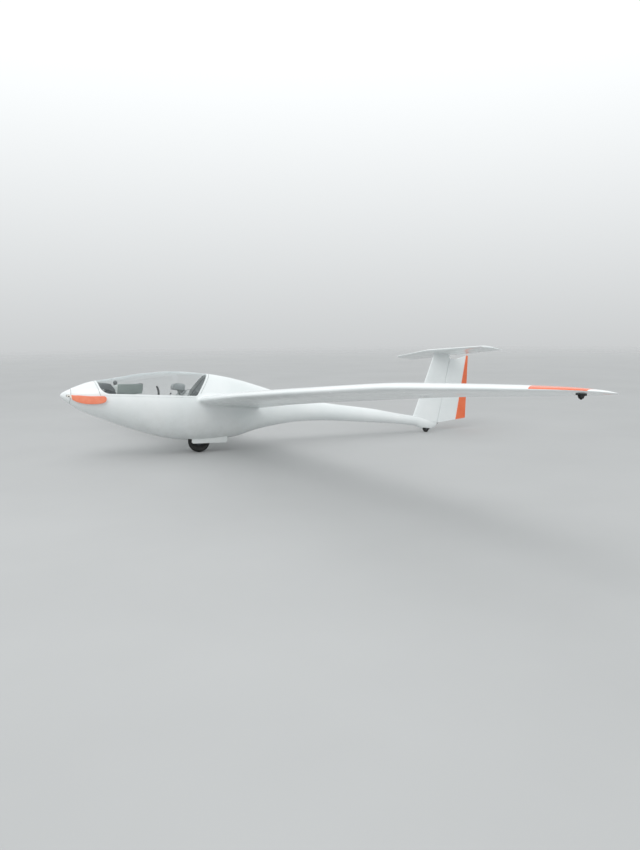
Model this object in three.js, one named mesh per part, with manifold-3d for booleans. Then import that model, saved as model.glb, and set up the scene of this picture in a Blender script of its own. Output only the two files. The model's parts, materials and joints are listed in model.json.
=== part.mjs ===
// A single-seat T-tailed sailplane with a folding propeller on its nose, parked
// on its main wheel, its tail wheel and the small wheel under its right wing tip.
//
// The pieces are drawn level, in the airframe's own frame: millimetres, +Z up,
// +Y towards the left wing tip, and -X backwards from the tip of the nose.
// A "station" is the distance back from the nose, so x = -station.
// At the end the whole airframe is tipped until its three wheels stand on the
// ground, and moved so that the middle of its footprint is the origin.

import * as THREE from 'three';
import { mergeVertices } from 'three/addons/utils/BufferGeometryUtils.js';
import Module from 'manifold-3d';

const wasm = await Module();
wasm.setup();

// Gaps
const SEAT = 0.3; // between pieces that touch
const RUN = 6; // around a moving panel

const FAR = 600; // a cutter's reach, past the fuselage on every side
const LONG = 9000; // a cutter's length, past the whole aircraft
const PAST = 2; // how far a cutter goes past a face that it meets flush
const ARC_STEPS = 6; // lines in a rounded corner
const ORIGIN = new THREE.Vector2();

// Fuselage sections, smoothly joined:
// station, top, bottom, half width, level of the widest point
const FUSELAGE = [
  [100, 88, -86, 87, 0],
  [200, 142, -140, 141, 0],
  [300, 190, -182, 184, 0],
  [400, 226, -214, 216, 0],
  [540, 264, -254, 243, 0],
  [720, 313, -302, 263, 2],
  [900, 366, -347, 279, 5],
  [1100, 409, -387, 290, 8],
  [1300, 445, -421, 295, 10],
  [1500, 464, -439, 294, 12],
  [1700, 472, -442, 287, 15],
  [1900, 471, -425, 272, 22],
  [2120, 459, -390, 248, 32],
  [2350, 432, -335, 215, 50],
  [2600, 389, -236, 183, 75],
  [2900, 332, -145, 158, 92],
  [3300, 272, -60, 137, 104],
  [3800, 240, -8, 121, 113],
  [4450, 229, 18, 105, 120],
  [5030, 193, 37, 78, 114],
  [5320, 180, 31, 60, 106],
];
const FUSELAGE_CUTS = [
  118, 160, 220, 300, 400, 520, 660, 820, 980, 1160, 1340, 1520, 1700, 1880, 2060, 2240, 2420,
  2600, 2800, 3050, 3400, 3800, 4300, 4800, 5320,
];
const FUSELAGE_SIDES = 28;
const SKIN = 14;
// Where the hollow behind the nose frame is cut: it ends behind the baggage space
const HOLLOW_CUTS = [134, 180, 260, 400, 560, 740, 940, 1160, 1380, 1600, 1820, 2060, 2330];
const HOLLOW_SIDES = 24;
// The hollow of the tail boom, from behind the baggage space's rear wall to the tail end
const BOOM_CUTS = [2350, 2600, 2800, 3050, 3400, 3800, 4300, 4800, 5330];
const BOOM_SKIN = 7;
// The hole for the propeller shaft in the nose frame
const SHAFT_HOLE = { front: 100, rear: 150, radius: 20 };

// Tail end of the fuselage, a fairing around the tail wheel: same columns as above
const TAIL_FAIRING = [
  [5320.3, 180, 31, 60, 106],
  [5400, 178, 6, 56, 100],
  [5450, 176, -2, 54, 96],
  [5600, 168, -3, 46, 92],
  [5650, 160, 20, 41, 92],
  [5697, 150, 52, 35, 100],
];
const TAIL_SIDES = 24;
const TAIL_POCKET = { front: 5456, rear: 5596, half: 26, roof: 78 };

// Canopy: corners of its outline seen from the side (station, height)
const CANOPY = {
  outline: [[247, 560], [451, 35], [1676, 122], [1914, 560]],
  frame: [24, 25, 24, 0], // width at the front edge, the sill, the rear edge and above
  gaps: [4, SEAT, 4, 4], // at the front edge, the sill, the rear edge and above
  frameDepth: 16,
  glass: 5,
  glassInset: 2,
  corners: [0, 130, 40, 0], // radii of the window's corners, in the outline's order
};
const CANOPY_HINGE = {
  names: ['front', 'rear'],
  stations: [760, 1480],
  out: 306, // from the middle to the hinge line
  inner: 250, // from the middle to where the arms are cut off
  drop: 6, // below the sill
  knuckle: 8,
  lugKnuckle: 7,
  pin: 3.4,
  play: 0.5,
  half: 12,
  lug: 30,
  side: 1, // gap beside the moving knuckle
  root: 8, // depth of the moving arm in the frame
  movingArm: [1, 14], // levels above the sill
  fixedArm: [-13, 0],
};

// Wing sections from root to tip, smoothly joined:
// distance from the middle, leading edge station, leading edge level, chord,
// nose-up angle in degrees, thickness over chord
const WING = [
  [150, 1688, 93, 885, 1.7, 0.15],
  [700, 1698, 108, 850, 1.7, 0.148],
  [1500, 1712, 126, 800, 1.6, 0.145],
  [3000, 1738, 138, 722, 1.5, 0.142],
  [4450, 1764, 143, 652, 1.4, 0.138],
  [5400, 1786, 119, 520, 1.0, 0.132],
  [6050, 1806, 97, 408, 0.5, 0.125],
  [6320, 1830, 88, 338, 0.3, 0.115],
  [6480, 1868, 84, 262, 0.2, 0.1],
  [6590, 1928, 80, 160, 0.1, 0.09],
  [6650, 2000, 77, 30, 0, 0.09],
];
const WING_CUTS = [150, 340, 800, 1500, 2250, 3000, 3750, 4450, 4950, 5400, 5760, 6050, 6320,
  6480, 6590, 6650];
const WING_CAMBER = 0.032;
const WING_POINTS = 11;
const TRAIL_HALF = 0.0008; // half the depth of the trailing edge, over the chord
// A wing is a shell that is open at its root: its skin at the root and at the tip, how far
// out its hollow runs, and where that ends in front of the flaperons, over the chord
const WING_HOLLOW = { skin: [4.2, 0.8], from: 100, to: 6480, rear: 0.755 };
const FLAPERON = {
  chord: 0.19,
  nose: 0.92, // radius of the nose over half the wing's depth there
  nosePoints: 6,
  steps: 4,
  trailHalf: 0.8,
  skin: 2,
  endBlock: 40, // solid length at each end, around the pin
  hollow: 0.85, // how far back the hollow runs, from the hinge to the trailing edge
};
const FLAPERONS = [
  { name: 'inner', from: 345, to: 4420 },
  { name: 'outer', from: 4440, to: 6030 },
];
const FLAP_PIN = { radius: 2.4, reach: 12, root: 3, ribRoot: 1.5, play: 0.6, endPlay: 1.8 };
// The airbrake's place along and across the wing, its plate and its slot
const BRAKE = {
  from: 2420, to: 3420, chord: 0.47, top: 0.1, thick: 12, slot: 24, depth: 68, under: 8,
};

// Tail
const FIN = {
  baseLevel: 120,
  topLevel: 1236,
  leadBase: 5244,
  leadTop: 5590,
  hingeBase: 5742,
  hingeTop: 5900,
  hingeBaseLevel: 117,
  hingeTopLevel: 1206,
  thickBase: 96,
  thickTop: 66,
  cuts: [120, 480, 840, 1236],
  steps: 8,
  fullness: 1.9, // the section is thickest at fullness * (root of u - taper * u) = 1
  taper: 0.47,
  skin: 3,
  hollow: [100, 480, 840, 1130], // where its hollow is cut, open at the bottom
  hollowFront: 0.06,
};
const RUDDER = {
  trailBottom: [6289, 238],
  trailTop: [6256, 1262],
  frontBottom: [5742, 120],
  frontTop: [5895, 1150],
  dip: [6010, 1166],
  nose: [38, 27],
  cuts: [90, 400, 700, 1000, 1290],
  noseSteps: 8,
  trailHalf: 1.5,
  frontCut: 5600,
  skin: 2.5,
  hollow: 0.85, // how far back its hollow runs, from the hinge to the trailing edge
  hollowCuts: [290, 700, 1090],
};
const RUDDER_PINS = {
  radius: 4,
  play: 0.6,
  endPlay: 3,
  half: 13,
  low: { level: 113, reach: 30, thick: 16, root: 20 },
  high: { level: 1158, reach: -34, thick: 12, root: 70 },
};
const NOSE_CROWDING = 1.7; // how close the tailplane's points stand near its leading edge
const SKIN_EDGE = 0.5;
const STABILISER = {
  level: 1236,
  lead: 5428,
  hinge: 5826,
  trail: 5962,
  kink: 1110,
  between: 400,
  leadKink: 5608,
  tip: 1141,
  leadTip: 5800,
  thick: 0.1,
  steps: 7,
  skin: 2.5,
  hollow: [70, 400, 1080], // where the hollow of each half is cut
  hollowFront: 0.12,
  tongue: { front: 5786, back: 12, half: 54, depth: 9, pin: 3, reach: 78, play: 0.6, endPlay: 3 },
};
const ELEVATOR = {
  inner: 62,
  between: 600,
  nose: [17, 10],
  noseSteps: 6,
  droop: 5, // degrees, as parked
  trailHalf: 1,
  rake: 22, // how much further out the tip's trailing edge is than its hinge
};

// Well for the main wheel, in the belly, and the doors that hang along its sides:
// the door's outline is (station, level), from its top front corner
const WELL = { front: 1652, rear: 2196, half: 74, roof: -262 };
const DOOR = {
  outline: [[1694, -360], [2190, -320], [2190, -435], [1699, -484]],
  inner: 84,
  outer: 89,
};
// Two plates beside the tyre, from the axle up to the roof of the well
const GEAR_LEG = {
  inner: 54.5,
  outer: 64,
  outline: [[1790, -470], [1856, -470], [1866, -400], [1900, WELL.roof - SEAT],
    [1780, WELL.roof - SEAT]],
};

// Wheels: where the axle is, the outer radius, the radius of the tyre's tube, the
// rim's radius and bore, and the axle's radius and half its length
const MAIN_WHEEL = {
  station: 1823, y: 0, level: -442, radius: 150, tube: 48, rim: 66, bore: 14, axle: 13, half: 66,
};
const TAIL_WHEEL = {
  station: 5526, y: 0, level: 9, radius: 60, tube: 17, rim: 30, bore: 6, axle: 5.6, half: 25.7,
};
const TIP_WHEEL = {
  station: 2010, y: 6400, level: 60, radius: 15, tube: 5, rim: 7.5, bore: 2.8, axle: 2.5, half: 13,
};
const TIP_BRACKET = {
  cheek: [[1976, 100], [2001, 52], [2019, 52], [2044, 100]],
  inner: 8, // from the middle of the wheel to the inner and outer face of a cheek
  outer: 11,
  blocks: [[1976, 1990], [2030, 2044]], // in front of the wheel and behind it
  blockLevels: [70, 100],
};
const TYRE = { bead: 0.62, sweep: 0.36 * Math.PI, rings: 8 };
const RIM = { dish: 0.8, flange: 12 };

// Propeller
const SPINNER = {
  length: 104,
  radius: 86,
  back: 108,
  bluntness: 0.62,
  rings: 8,
  edge: 2,
  shaftRoot: 6,
};
const BLADE = {
  pivotStation: 84,
  pivotRadius: 62,
  eye: 12,
  pin: 4.2,
  hole: 4.7,
  slot: 30,
  slotSide: 6, // around the eye
  pinRoot: 4,
  slotOut: 140,
  slotRear: 130,
  height: 27,
  rootRadius: 9,
  rootEnd: 6,
  sides: 12,
  // station, outward distance of the blade's mid line, width, thickness, drop of the mid line
  sections: [
    [92, 84, 27, 10, 0],
    [106, 99, 34, 10, 2],
    [118, 110, 56, 10, 5],
    [150, 130, 78, 9.5, 14],
    [200, 157, 92, 9, 25],
    [290, 200, 98, 8.5, 34],
    [400, 243, 98, 7.5, 26],
    [480, 268, 92, 6.5, 14],
    [520, 278, 80, 5, 8],
    [540, 283, 44, 4, 4],
  ],
};
const MOTOR = { front: 176, back: 266, radius: 88, shaft: 13 };
const FIREWALL = 12;

// Cockpit: outlines and paths are (station, level)
const SEAT_PAN = {
  path: [[930, -170], [1030, -215], [1150, -310], [1260, -330], [1350, -250], [1440, -80],
    [1510, 90], [1560, 210]],
  thick: 14,
  half: 250,
  steps: 18,
};
const HEADREST = {
  outline: [[1392, 298], [1392, 212], [1476, 206], [1505, 150], [1535, 150], [1558, 206],
    [1552, 298]],
  half: 88,
};
// A slanted sheet, with a raised plate for the harness on its front face: how far along
// that face the plate's middle is, over its length
const BULKHEAD = { outline: [[1580, -100], [1594, -100], [1903, 486], [1889, 486]] };
const HARNESS_PLATE = { place: 0.5, high: 60, half: 90, proud: 6, root: 5 };
const PANEL = {
  outline: [[450, 62], [540, 140], [640, 190], [700, 212], [955, 243], [976, 236], [972, 120],
    [930, 112], [700, 84]],
  half: 150,
  pedestal: { front: 690, rear: 800, half: 55, top: 83 },
};
const COMPASS = { station: 655, level: 226, radius: 27, base: 14, foot: 150 };
const STICK = { path: [[1138, -292], [1216, 60], [1190, 236]], radius: 9, grip: 14 };
const PEDALS = { station: 628, level: -120, tube: 9, middle: 96, width: 60, low: 20, high: 130,
  half: 6 };
const BATTERY = { front: 1960, rear: 2220, inner: 6, outer: 100, top: -96 };

const WHITE = { color: 0xe9edee, roughness: 0.22, metalness: 0 };
const GREY = { color: 0x8f9496, roughness: 0.55, metalness: 0 };
const BLACK = { color: 0x1d1e20, roughness: 0.7, metalness: 0 };
const RUBBER = { color: 0x202122, roughness: 0.9, metalness: 0 };
const STEEL = { color: 0x8d9196, roughness: 0.35, metalness: 1 };
const ALLOY = { color: 0xb8bcc0, roughness: 0.4, metalness: 1 };
const ORANGE = { color: 0xe8703c, roughness: 0.3, metalness: 0 };
const GLASS = { color: 0xc8d4d6, roughness: 0.05, metalness: 0, transparent: true, opacity: 0.3 };
const CLOTH = { color: 0x6f7376, roughness: 0.95, metalness: 0 };

// Points and interpolation

const lerp = (a, b, t) => a + (b - a) * t;

function at(station, y, z) {
  return new THREE.Vector3(-station, y, z);
}

// Reads a row at any value of the table's first column, on a smooth curve
// through the rows. Where a column turns, the curve is flat.
function rowAt(table, key) {
  let i = 0;
  while (i < table.length - 2 && key > table[i + 1][0]) {
    i += 1;
  }
  const span = table[i + 1][0] - table[i][0];
  const t = Math.min(1, Math.max(0, (key - table[i][0]) / span));
  const rise = (k, c) => (table[k + 1][c] - table[k][c]) / (table[k + 1][0] - table[k][0]);
  const slope = (k, c) => {
    if (k === 0) return rise(0, c);
    if (k === table.length - 1) return rise(k - 1, c);
    const before = rise(k - 1, c);
    const after = rise(k, c);
    if (before * after <= 0) return 0;
    return (2 * before * after) / (before + after);
  };
  return table[i].map((value, c) => {
    if (c === 0) return key;
    const a = slope(i, c) * span;
    const b = slope(i + 1, c) * span;
    const end = table[i + 1][c];
    return (
      value * (2 * t ** 3 - 3 * t ** 2 + 1) +
      end * (3 * t ** 2 - 2 * t ** 3) +
      a * (t ** 3 - 2 * t ** 2 + t) +
      b * (t ** 3 - t ** 2)
    );
  });
}

// Solids

function signedVolume(points, triangles) {
  let volume = 0;
  for (let i = 0; i < triangles.length; i += 3) {
    const [a, b, c] = [points[triangles[i]], points[triangles[i + 1]], points[triangles[i + 2]]];
    volume += a.dot(b.clone().cross(c)) / 6;
  }
  return volume;
}

// A solid from points and triangles, turned so that its faces point outwards
function solidOf(points, triangles) {
  if (signedVolume(points, triangles) < 0) {
    for (let i = 0; i < triangles.length; i += 3) {
      [triangles[i], triangles[i + 1]] = [triangles[i + 1], triangles[i]];
    }
  }
  const mesh = new wasm.Mesh({
    numProp: 3,
    vertProperties: new Float32Array(points.flatMap((p) => [p.x, p.y, p.z])),
    triVerts: new Uint32Array(triangles),
  });
  return new wasm.Manifold(mesh);
}

// A skin through closed rings with the same number of points, capped at both ends
function loft(rings) {
  const n = rings[0].length;
  const points = rings.flat();
  const triangles = [];
  for (let r = 0; r < rings.length - 1; r += 1) {
    for (let i = 0; i < n; i += 1) {
      const j = (i + 1) % n;
      const [a, b, c, d] = [r * n + i, r * n + j, (r + 1) * n + j, (r + 1) * n + i];
      triangles.push(a, b, c, a, c, d);
    }
  }
  for (const [ring, flip] of [[0, true], [rings.length - 1, false]]) {
    const middle = new THREE.Vector3();
    rings[ring].forEach((p) => middle.addScaledVector(p, 1 / n));
    const hub = points.push(middle) - 1;
    for (let i = 0; i < n; i += 1) {
      const a = ring * n + i;
      const b = ring * n + ((i + 1) % n);
      triangles.push(...(flip ? [hub, b, a] : [hub, a, b]));
    }
  }
  return solidOf(points, triangles);
}

// A three.js geometry, placed by an optional matrix, as a solid
function fromGeometry(geometry, matrix) {
  const bare = geometry.clone();
  bare.deleteAttribute('normal');
  bare.deleteAttribute('uv');
  if (matrix) bare.applyMatrix4(matrix);
  const merged = mergeVertices(bare, 1e-3);
  const position = merged.attributes.position;
  const points = [];
  for (let i = 0; i < position.count; i += 1) {
    points.push(new THREE.Vector3().fromBufferAttribute(position, i));
  }
  const triangles = [];
  const index = merged.index.array;
  for (let i = 0; i < index.length; i += 3) {
    const [a, b, c] = [index[i], index[i + 1], index[i + 2]];
    if (a !== b && b !== c && c !== a) triangles.push(a, b, c);
  }
  return solidOf(points, triangles);
}

function box(stations, ys, zs) {
  const size = [stations[1] - stations[0], ys[1] - ys[0], zs[1] - zs[0]];
  const middle = at((stations[0] + stations[1]) / 2, (ys[0] + ys[1]) / 2, (zs[0] + zs[1]) / 2);
  const place = new THREE.Matrix4().makeTranslation(middle);
  return fromGeometry(new THREE.BoxGeometry(...size), place);
}

// A round bar between two points, whose radius may change
function bar(from, to, radiusFrom, radiusTo, sides) {
  const along = to.clone().sub(from);
  const geometry = new THREE.CylinderGeometry(radiusTo, radiusFrom, along.length(), sides);
  const turn = new THREE.Quaternion();
  turn.setFromUnitVectors(new THREE.Vector3(0, 1, 0), along.clone().normalize());
  const middle = from.clone().add(to).multiplyScalar(0.5);
  return fromGeometry(geometry, new THREE.Matrix4().compose(middle, turn, new THREE.Vector3(1, 1, 1)));
}

// An outline of (station, level) corners, extruded across from y0 to y1
function sideExtrusion(outline, y0, y1) {
  const shape = new THREE.Shape(outline.map(([s, z]) => new THREE.Vector2(-s, z)));
  const geometry = new THREE.ExtrudeGeometry(shape, { depth: y1 - y0, bevelEnabled: false });
  const place = new THREE.Matrix4().makeRotationX(Math.PI / 2);
  place.setPosition(0, y1, 0);
  return fromGeometry(geometry, place);
}

// A turned piece: profile of (radius, distance along the axis), axis along +Y at a centre
function turned(profile, centre, sides) {
  const points = profile.map(([r, d]) => new THREE.Vector2(r, d));
  const geometry = new THREE.LatheGeometry(points, sides);
  return fromGeometry(geometry, new THREE.Matrix4().makeTranslation(centre));
}

// Moves each side of a closed outline inwards by its own distance
function inset(outline, distances) {
  const n = outline.length;
  let area = 0;
  outline.forEach(([x, y], i) => {
    const [u, v] = outline[(i + 1) % n];
    area += (x * v - u * y) / 2;
  });
  const lines = outline.map(([x, y], i) => {
    const [u, v] = outline[(i + 1) % n];
    const length = Math.hypot(u - x, v - y);
    const [dx, dy] = [(u - x) / length, (v - y) / length];
    const shift = Math.sign(area) * distances[i];
    return [x - dy * shift, y + dx * shift, dx, dy];
  });
  return lines.map((line, i) => {
    const [x0, y0, dx0, dy0] = lines[(i + n - 1) % n];
    const [x1, y1, dx1, dy1] = line;
    const t = ((x1 - x0) * dy1 - (y1 - y0) * dx1) / (dx0 * dy1 - dy0 * dx1);
    return [x0 + dx0 * t, y0 + dy0 * t];
  });
}

// Replaces each corner of an outline by an arc of its own radius
function rounded(outline, radii) {
  const n = outline.length;
  return outline.flatMap((corner, i) => {
    if (!radii[i]) return [corner];
    const here = new THREE.Vector2(...corner);
    const before = new THREE.Vector2(...outline[(i + n - 1) % n]).sub(here).normalize();
    const after = new THREE.Vector2(...outline[(i + 1) % n]).sub(here).normalize();
    const half = Math.acos(before.dot(after)) / 2;
    const reach = radii[i] / Math.tan(half);
    const centre = here.clone()
      .addScaledVector(before.clone().add(after).normalize(), radii[i] / Math.sin(half));
    const from = here.clone().addScaledVector(before, reach).sub(centre);
    const turn = from.angleTo(here.clone().addScaledVector(after, reach).sub(centre));
    const way = Math.sign(after.cross(before));
    const arc = [];
    for (let k = 0; k <= ARC_STEPS; k += 1) {
      const point = from.clone().rotateAround(ORIGIN, (way * turn * k) / ARC_STEPS);
      arc.push(point.add(centre).toArray());
    }
    return arc;
  });
}

const meshes = [];

function add(name, solid, look) {
  const data = solid.getMesh();
  const geometry = new THREE.BufferGeometry();
  geometry.setAttribute('position', new THREE.BufferAttribute(data.vertProperties, 3));
  geometry.setIndex(new THREE.BufferAttribute(data.triVerts, 1));
  geometry.computeVertexNormals();
  const mesh = new THREE.Mesh(geometry, new THREE.MeshStandardMaterial(look));
  mesh.name = name;
  meshes.push(mesh);
}

// Fuselage

// One ring of the fuselage, grown outwards by an amount (inwards when negative)
function bodyRing(table, station, grow, sides) {
  const [, top, bottom, half, wide] = rowAt(table, station);
  const ring = [];
  for (let i = 0; i < sides; i += 1) {
    const angle = (i / sides) * 2 * Math.PI;
    const rise = Math.sin(angle) > 0 ? top - wide + grow : wide - bottom + grow;
    ring.push(at(station, (half + grow) * Math.cos(angle), wide + rise * Math.sin(angle)));
  }
  return ring;
}

function bodyLoft(table, stations, grow, sides) {
  return loft(stations.map((s) => bodyRing(table, s, grow, sides)));
}

const bodyOuter = bodyLoft(FUSELAGE, FUSELAGE_CUTS, 0, FUSELAGE_SIDES);
const bodySeat = bodyLoft(FUSELAGE, FUSELAGE_CUTS, SEAT, FUSELAGE_SIDES);
const bodyInner = bodyLoft(FUSELAGE, HOLLOW_CUTS, -SKIN, HOLLOW_SIDES);
const cabinFit = bodyLoft(FUSELAGE, HOLLOW_CUTS, -SKIN - SEAT, HOLLOW_SIDES);

const canopyHole = sideExtrusion(inset(CANOPY.outline, CANOPY.gaps.map((g) => -g)), -FAR, FAR);
const canopyBlank = sideExtrusion(CANOPY.outline, -FAR, FAR);
// The window has a frame round it on three sides, and runs right over the top
const windowOutline = rounded(inset(CANOPY.outline, CANOPY.frame), CANOPY.corners);
const windowHole = sideExtrusion(windowOutline, -FAR, FAR);
const glassBlank = sideExtrusion(inset(windowOutline, windowOutline.map(() => SEAT)), -FAR, FAR);

const wheelWell = box([WELL.front, WELL.rear], [-WELL.half, WELL.half], [-FAR, WELL.roof]);
const wellBox = box([WELL.front - SKIN, WELL.rear + SKIN], [-WELL.half - SKIN, WELL.half + SKIN],
  [-FAR, WELL.roof + SKIN]);
const wellShell = bodyOuter.intersect(wellBox);

const boomInner = bodyLoft(FUSELAGE, BOOM_CUTS, -BOOM_SKIN, HOLLOW_SIDES);

let fuselage = bodyOuter.subtract(bodyInner).subtract(boomInner);
fuselage = fuselage.subtract(canopyHole);
fuselage = fuselage.add(wellShell).subtract(wheelWell);
fuselage = fuselage.subtract(bar(at(SHAFT_HOLE.front, 0, 0), at(SHAFT_HOLE.rear, 0, 0),
  SHAFT_HOLE.radius, SHAFT_HOLE.radius, 20));
add('fuselage', fuselage, WHITE);

const tailStations = TAIL_FAIRING.map((row) => row[0]);
const tailPocket = box([TAIL_POCKET.front, TAIL_POCKET.rear], [-TAIL_POCKET.half, TAIL_POCKET.half],
  [-FAR, TAIL_POCKET.roof]);
const tailFairing = bodyLoft(TAIL_FAIRING, tailStations, 0, TAIL_SIDES).subtract(tailPocket);

// Canopy

const shellOf = (out, depth) =>
  bodyLoft(FUSELAGE, FUSELAGE_CUTS, -out, FUSELAGE_SIDES)
    .subtract(bodyLoft(FUSELAGE, FUSELAGE_CUTS, -out - depth, FUSELAGE_SIDES));
const canopyFrame = shellOf(0, CANOPY.frameDepth).intersect(canopyBlank).subtract(windowHole);
const canopyGlass = shellOf(CANOPY.glassInset, CANOPY.glass).intersect(glassBlank);

// The hinge line runs along the right sill, just outside the widest point
const [, sillFront, sillRear] = CANOPY.outline;
const sillSlope = (sillRear[1] - sillFront[1]) / (sillRear[0] - sillFront[0]);
const sillLevel = (station) => sillFront[1] + (station - sillFront[0]) * sillSlope;
const hingePoint = (station) => at(station, -CANOPY_HINGE.out,
  sillLevel(station) - CANOPY_HINGE.drop);
const hingeBar = (from, to, radius) => bar(hingePoint(from), hingePoint(to), radius, radius, 12);

// A strip beside the sill, out to the hinge line, between two levels above the sill
function hingeArm(from, to, low, high) {
  const ends = [from, to].map((s) => [s, sillLevel(s)]);
  const outline = [
    [ends[0][0], ends[0][1] + low],
    [ends[1][0], ends[1][1] + low],
    [ends[1][0], ends[1][1] + high],
    [ends[0][0], ends[0][1] + high],
  ];
  return sideExtrusion(outline, -CANOPY_HINGE.out, -CANOPY_HINGE.inner);
}

const belowSill = sideExtrusion([[sillFront[0], -FAR], [sillRear[0], -FAR],
  [sillRear[0], sillRear[1] + SEAT], [sillFront[0], sillFront[1] + SEAT]], -FAR, FAR)
  .intersect(bodySeat);
const armRoot = bodyLoft(FUSELAGE, FUSELAGE_CUTS, -CANOPY_HINGE.root, FUSELAGE_SIDES);
let canopyBody = canopyFrame;
CANOPY_HINGE.stations.forEach((station, i) => {
  const { half, lug, knuckle, lugKnuckle, pin, play, side } = CANOPY_HINGE;
  const moving = hingeBar(station - half, station + half, knuckle)
    .add(hingeArm(station - half, station + half, ...CANOPY_HINGE.movingArm))
    .subtract(hingeBar(station - lug, station + lug, pin + play))
    .subtract(armRoot);
  canopyBody = canopyBody.add(moving.subtract(belowSill));
  let fixed = hingeBar(station - lug, station + lug, pin);
  for (const edge of [-1, 1]) {
    const [from, to] = [station + edge * (half + side), station + edge * lug].sort((a, b) => a - b);
    fixed = fixed.add(hingeBar(from, to, lugKnuckle));
    fixed = fixed.add(hingeArm(from, to, ...CANOPY_HINGE.fixedArm));
  }
  add(`canopy_hinge_${CANOPY_HINGE.names[i]}`, fixed.subtract(bodySeat), STEEL);
});
add('canopy_frame', canopyBody, WHITE);
add('canopy_glass', canopyGlass, GLASS);

// Wings

// Half the depth of the classic four-digit wing section, over the chord
function halfDepth(x, thickness) {
  return 5 * thickness * (0.2969 * Math.sqrt(x) - 0.126 * x - 0.3516 * x ** 2 + 0.2843 * x ** 3 -
    0.1015 * x ** 4);
}

// A cambered section as (part of the chord, height over the chord), clockwise from the tail
function aerofoil(thickness, camber, count) {
  const xs = [];
  for (let i = 0; i <= count; i += 1) {
    xs.push(0.5 - 0.5 * Math.cos((Math.PI * i) / count));
  }
  const half = (x) => (x === 0 ? 0 : halfDepth(x, thickness) + TRAIL_HALF);
  const mean = (x) => camber * 4 * x * (1 - x);
  const upper = xs.map((x) => [x, mean(x) + half(x)]).reverse();
  const lower = xs.slice(1).map((x) => [x, mean(x) - half(x)]);
  return [...upper, ...lower];
}

function wingRing(side, y, grow) {
  const [, lead, level, chord, angle, thickness] = rowAt(WING, y);
  const tilt = THREE.MathUtils.degToRad(angle);
  return aerofoil(thickness, WING_CAMBER, WING_POINTS).map(([x, h]) => {
    const along = x * chord;
    const up = h * chord + Math.sign(h) * grow;
    return at(lead + along * Math.cos(tilt) + up * Math.sin(tilt), side * y,
      level - along * Math.sin(tilt) + up * Math.cos(tilt));
  });
}

const wingSkin = (y) => lerp(...WING_HOLLOW.skin, y / WING_HOLLOW.to);

// The hollow of a wing, a skin's thickness inside its section
function wingHollowRing(side, y) {
  const [, lead, level, chord, angle, thickness] = rowAt(WING, y);
  const tilt = THREE.MathUtils.degToRad(angle);
  const xs = [];
  for (let i = 1; i < WING_POINTS; i += 1) {
    const x = 0.5 - 0.5 * Math.cos((Math.PI * i) / WING_POINTS);
    if (x < WING_HOLLOW.rear) xs.push(x);
  }
  xs.push(WING_HOLLOW.rear);
  const edge = (sign) => xs.map((x) => {
    const along = x * chord;
    const half = halfDepth(x, thickness) * chord - wingSkin(y);
    const up = WING_CAMBER * 4 * x * (1 - x) * chord + sign * half;
    return at(lead + along * Math.cos(tilt) + up * Math.sin(tilt), side * y,
      level - along * Math.sin(tilt) + up * Math.cos(tilt));
  });
  return [...edge(1).reverse(), ...edge(-1)];
}

// The hinge of a flaperon at a distance from the middle, its nose radius and trailing edge
function flapHinge(y) {
  const [, lead, level, chord, angle, thickness] = rowAt(WING, y);
  const tilt = THREE.MathUtils.degToRad(angle);
  const x = 1 - FLAPERON.chord;
  const middle = WING_CAMBER * 4 * x * (1 - x) * chord;
  const along = x * chord;
  return {
    station: lead + along * Math.cos(tilt) + middle * Math.sin(tilt),
    level: level - along * Math.sin(tilt) + middle * Math.cos(tilt),
    radius: halfDepth(x, thickness) * chord * FLAPERON.nose,
    trail: [lead + chord * Math.cos(tilt), level - chord * Math.sin(tilt)],
  };
}

function flapRing(side, y) {
  const { station, level, radius, trail } = flapHinge(y);
  const ring = [];
  for (let i = 0; i <= FLAPERON.nosePoints; i += 1) {
    const angle = Math.PI / 2 + (i / FLAPERON.nosePoints) * Math.PI;
    ring.push(at(station + radius * Math.cos(angle), side * y, level + radius * Math.sin(angle)));
  }
  ring.push(at(trail[0], side * y, trail[1] - FLAPERON.trailHalf));
  ring.push(at(trail[0], side * y, trail[1] + FLAPERON.trailHalf));
  return ring;
}

// The hollow of a flaperon, open at the nose, which the wing's rear face hides
function flapHollowRing(side, y) {
  const { station, level, radius, trail } = flapHinge(y);
  const half = radius - FLAPERON.skin;
  const back = lerp(radius, FLAPERON.trailHalf, FLAPERON.hollow) - FLAPERON.skin;
  const end = [station, level].map((v, i) => lerp(v, trail[i], FLAPERON.hollow));
  return [
    at(station - radius - RUN, side * y, level + half),
    at(station, side * y, level + half),
    at(end[0], side * y, end[1] + back),
    at(end[0], side * y, end[1] - back),
    at(station, side * y, level - half),
    at(station - radius - RUN, side * y, level - half),
  ];
}

function flapHollow(side, flap) {
  const ys = [side * (flap.from + FLAPERON.endBlock), side * (flap.to - FLAPERON.endBlock)];
  const between = box([0, LONG], ys.sort((a, b) => a - b), [-FAR, FAR]);
  return loft(flapStations(flap, 0).map((y) => flapHollowRing(side, y))).intersect(between);
}

function flapStations(flap, extra) {
  const list = [];
  for (let i = 0; i <= FLAPERON.steps; i += 1) {
    list.push(lerp(flap.from, flap.to, i / FLAPERON.steps));
  }
  list[0] -= extra;
  list[FLAPERON.steps] += extra;
  return list;
}

// The space that a flaperon needs behind the wing's rear face
function flapSpace(side, flap) {
  return loft(flapStations(flap, RUN).map((y) => {
    const { station, radius, level } = flapHinge(y);
    const front = station - radius - RUN;
    return [
      at(front, side * y, level - FAR),
      at(front, side * y, level + FAR),
      at(station + FAR, side * y, level + FAR),
      at(station + FAR, side * y, level - FAR),
    ];
  }));
}

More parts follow.
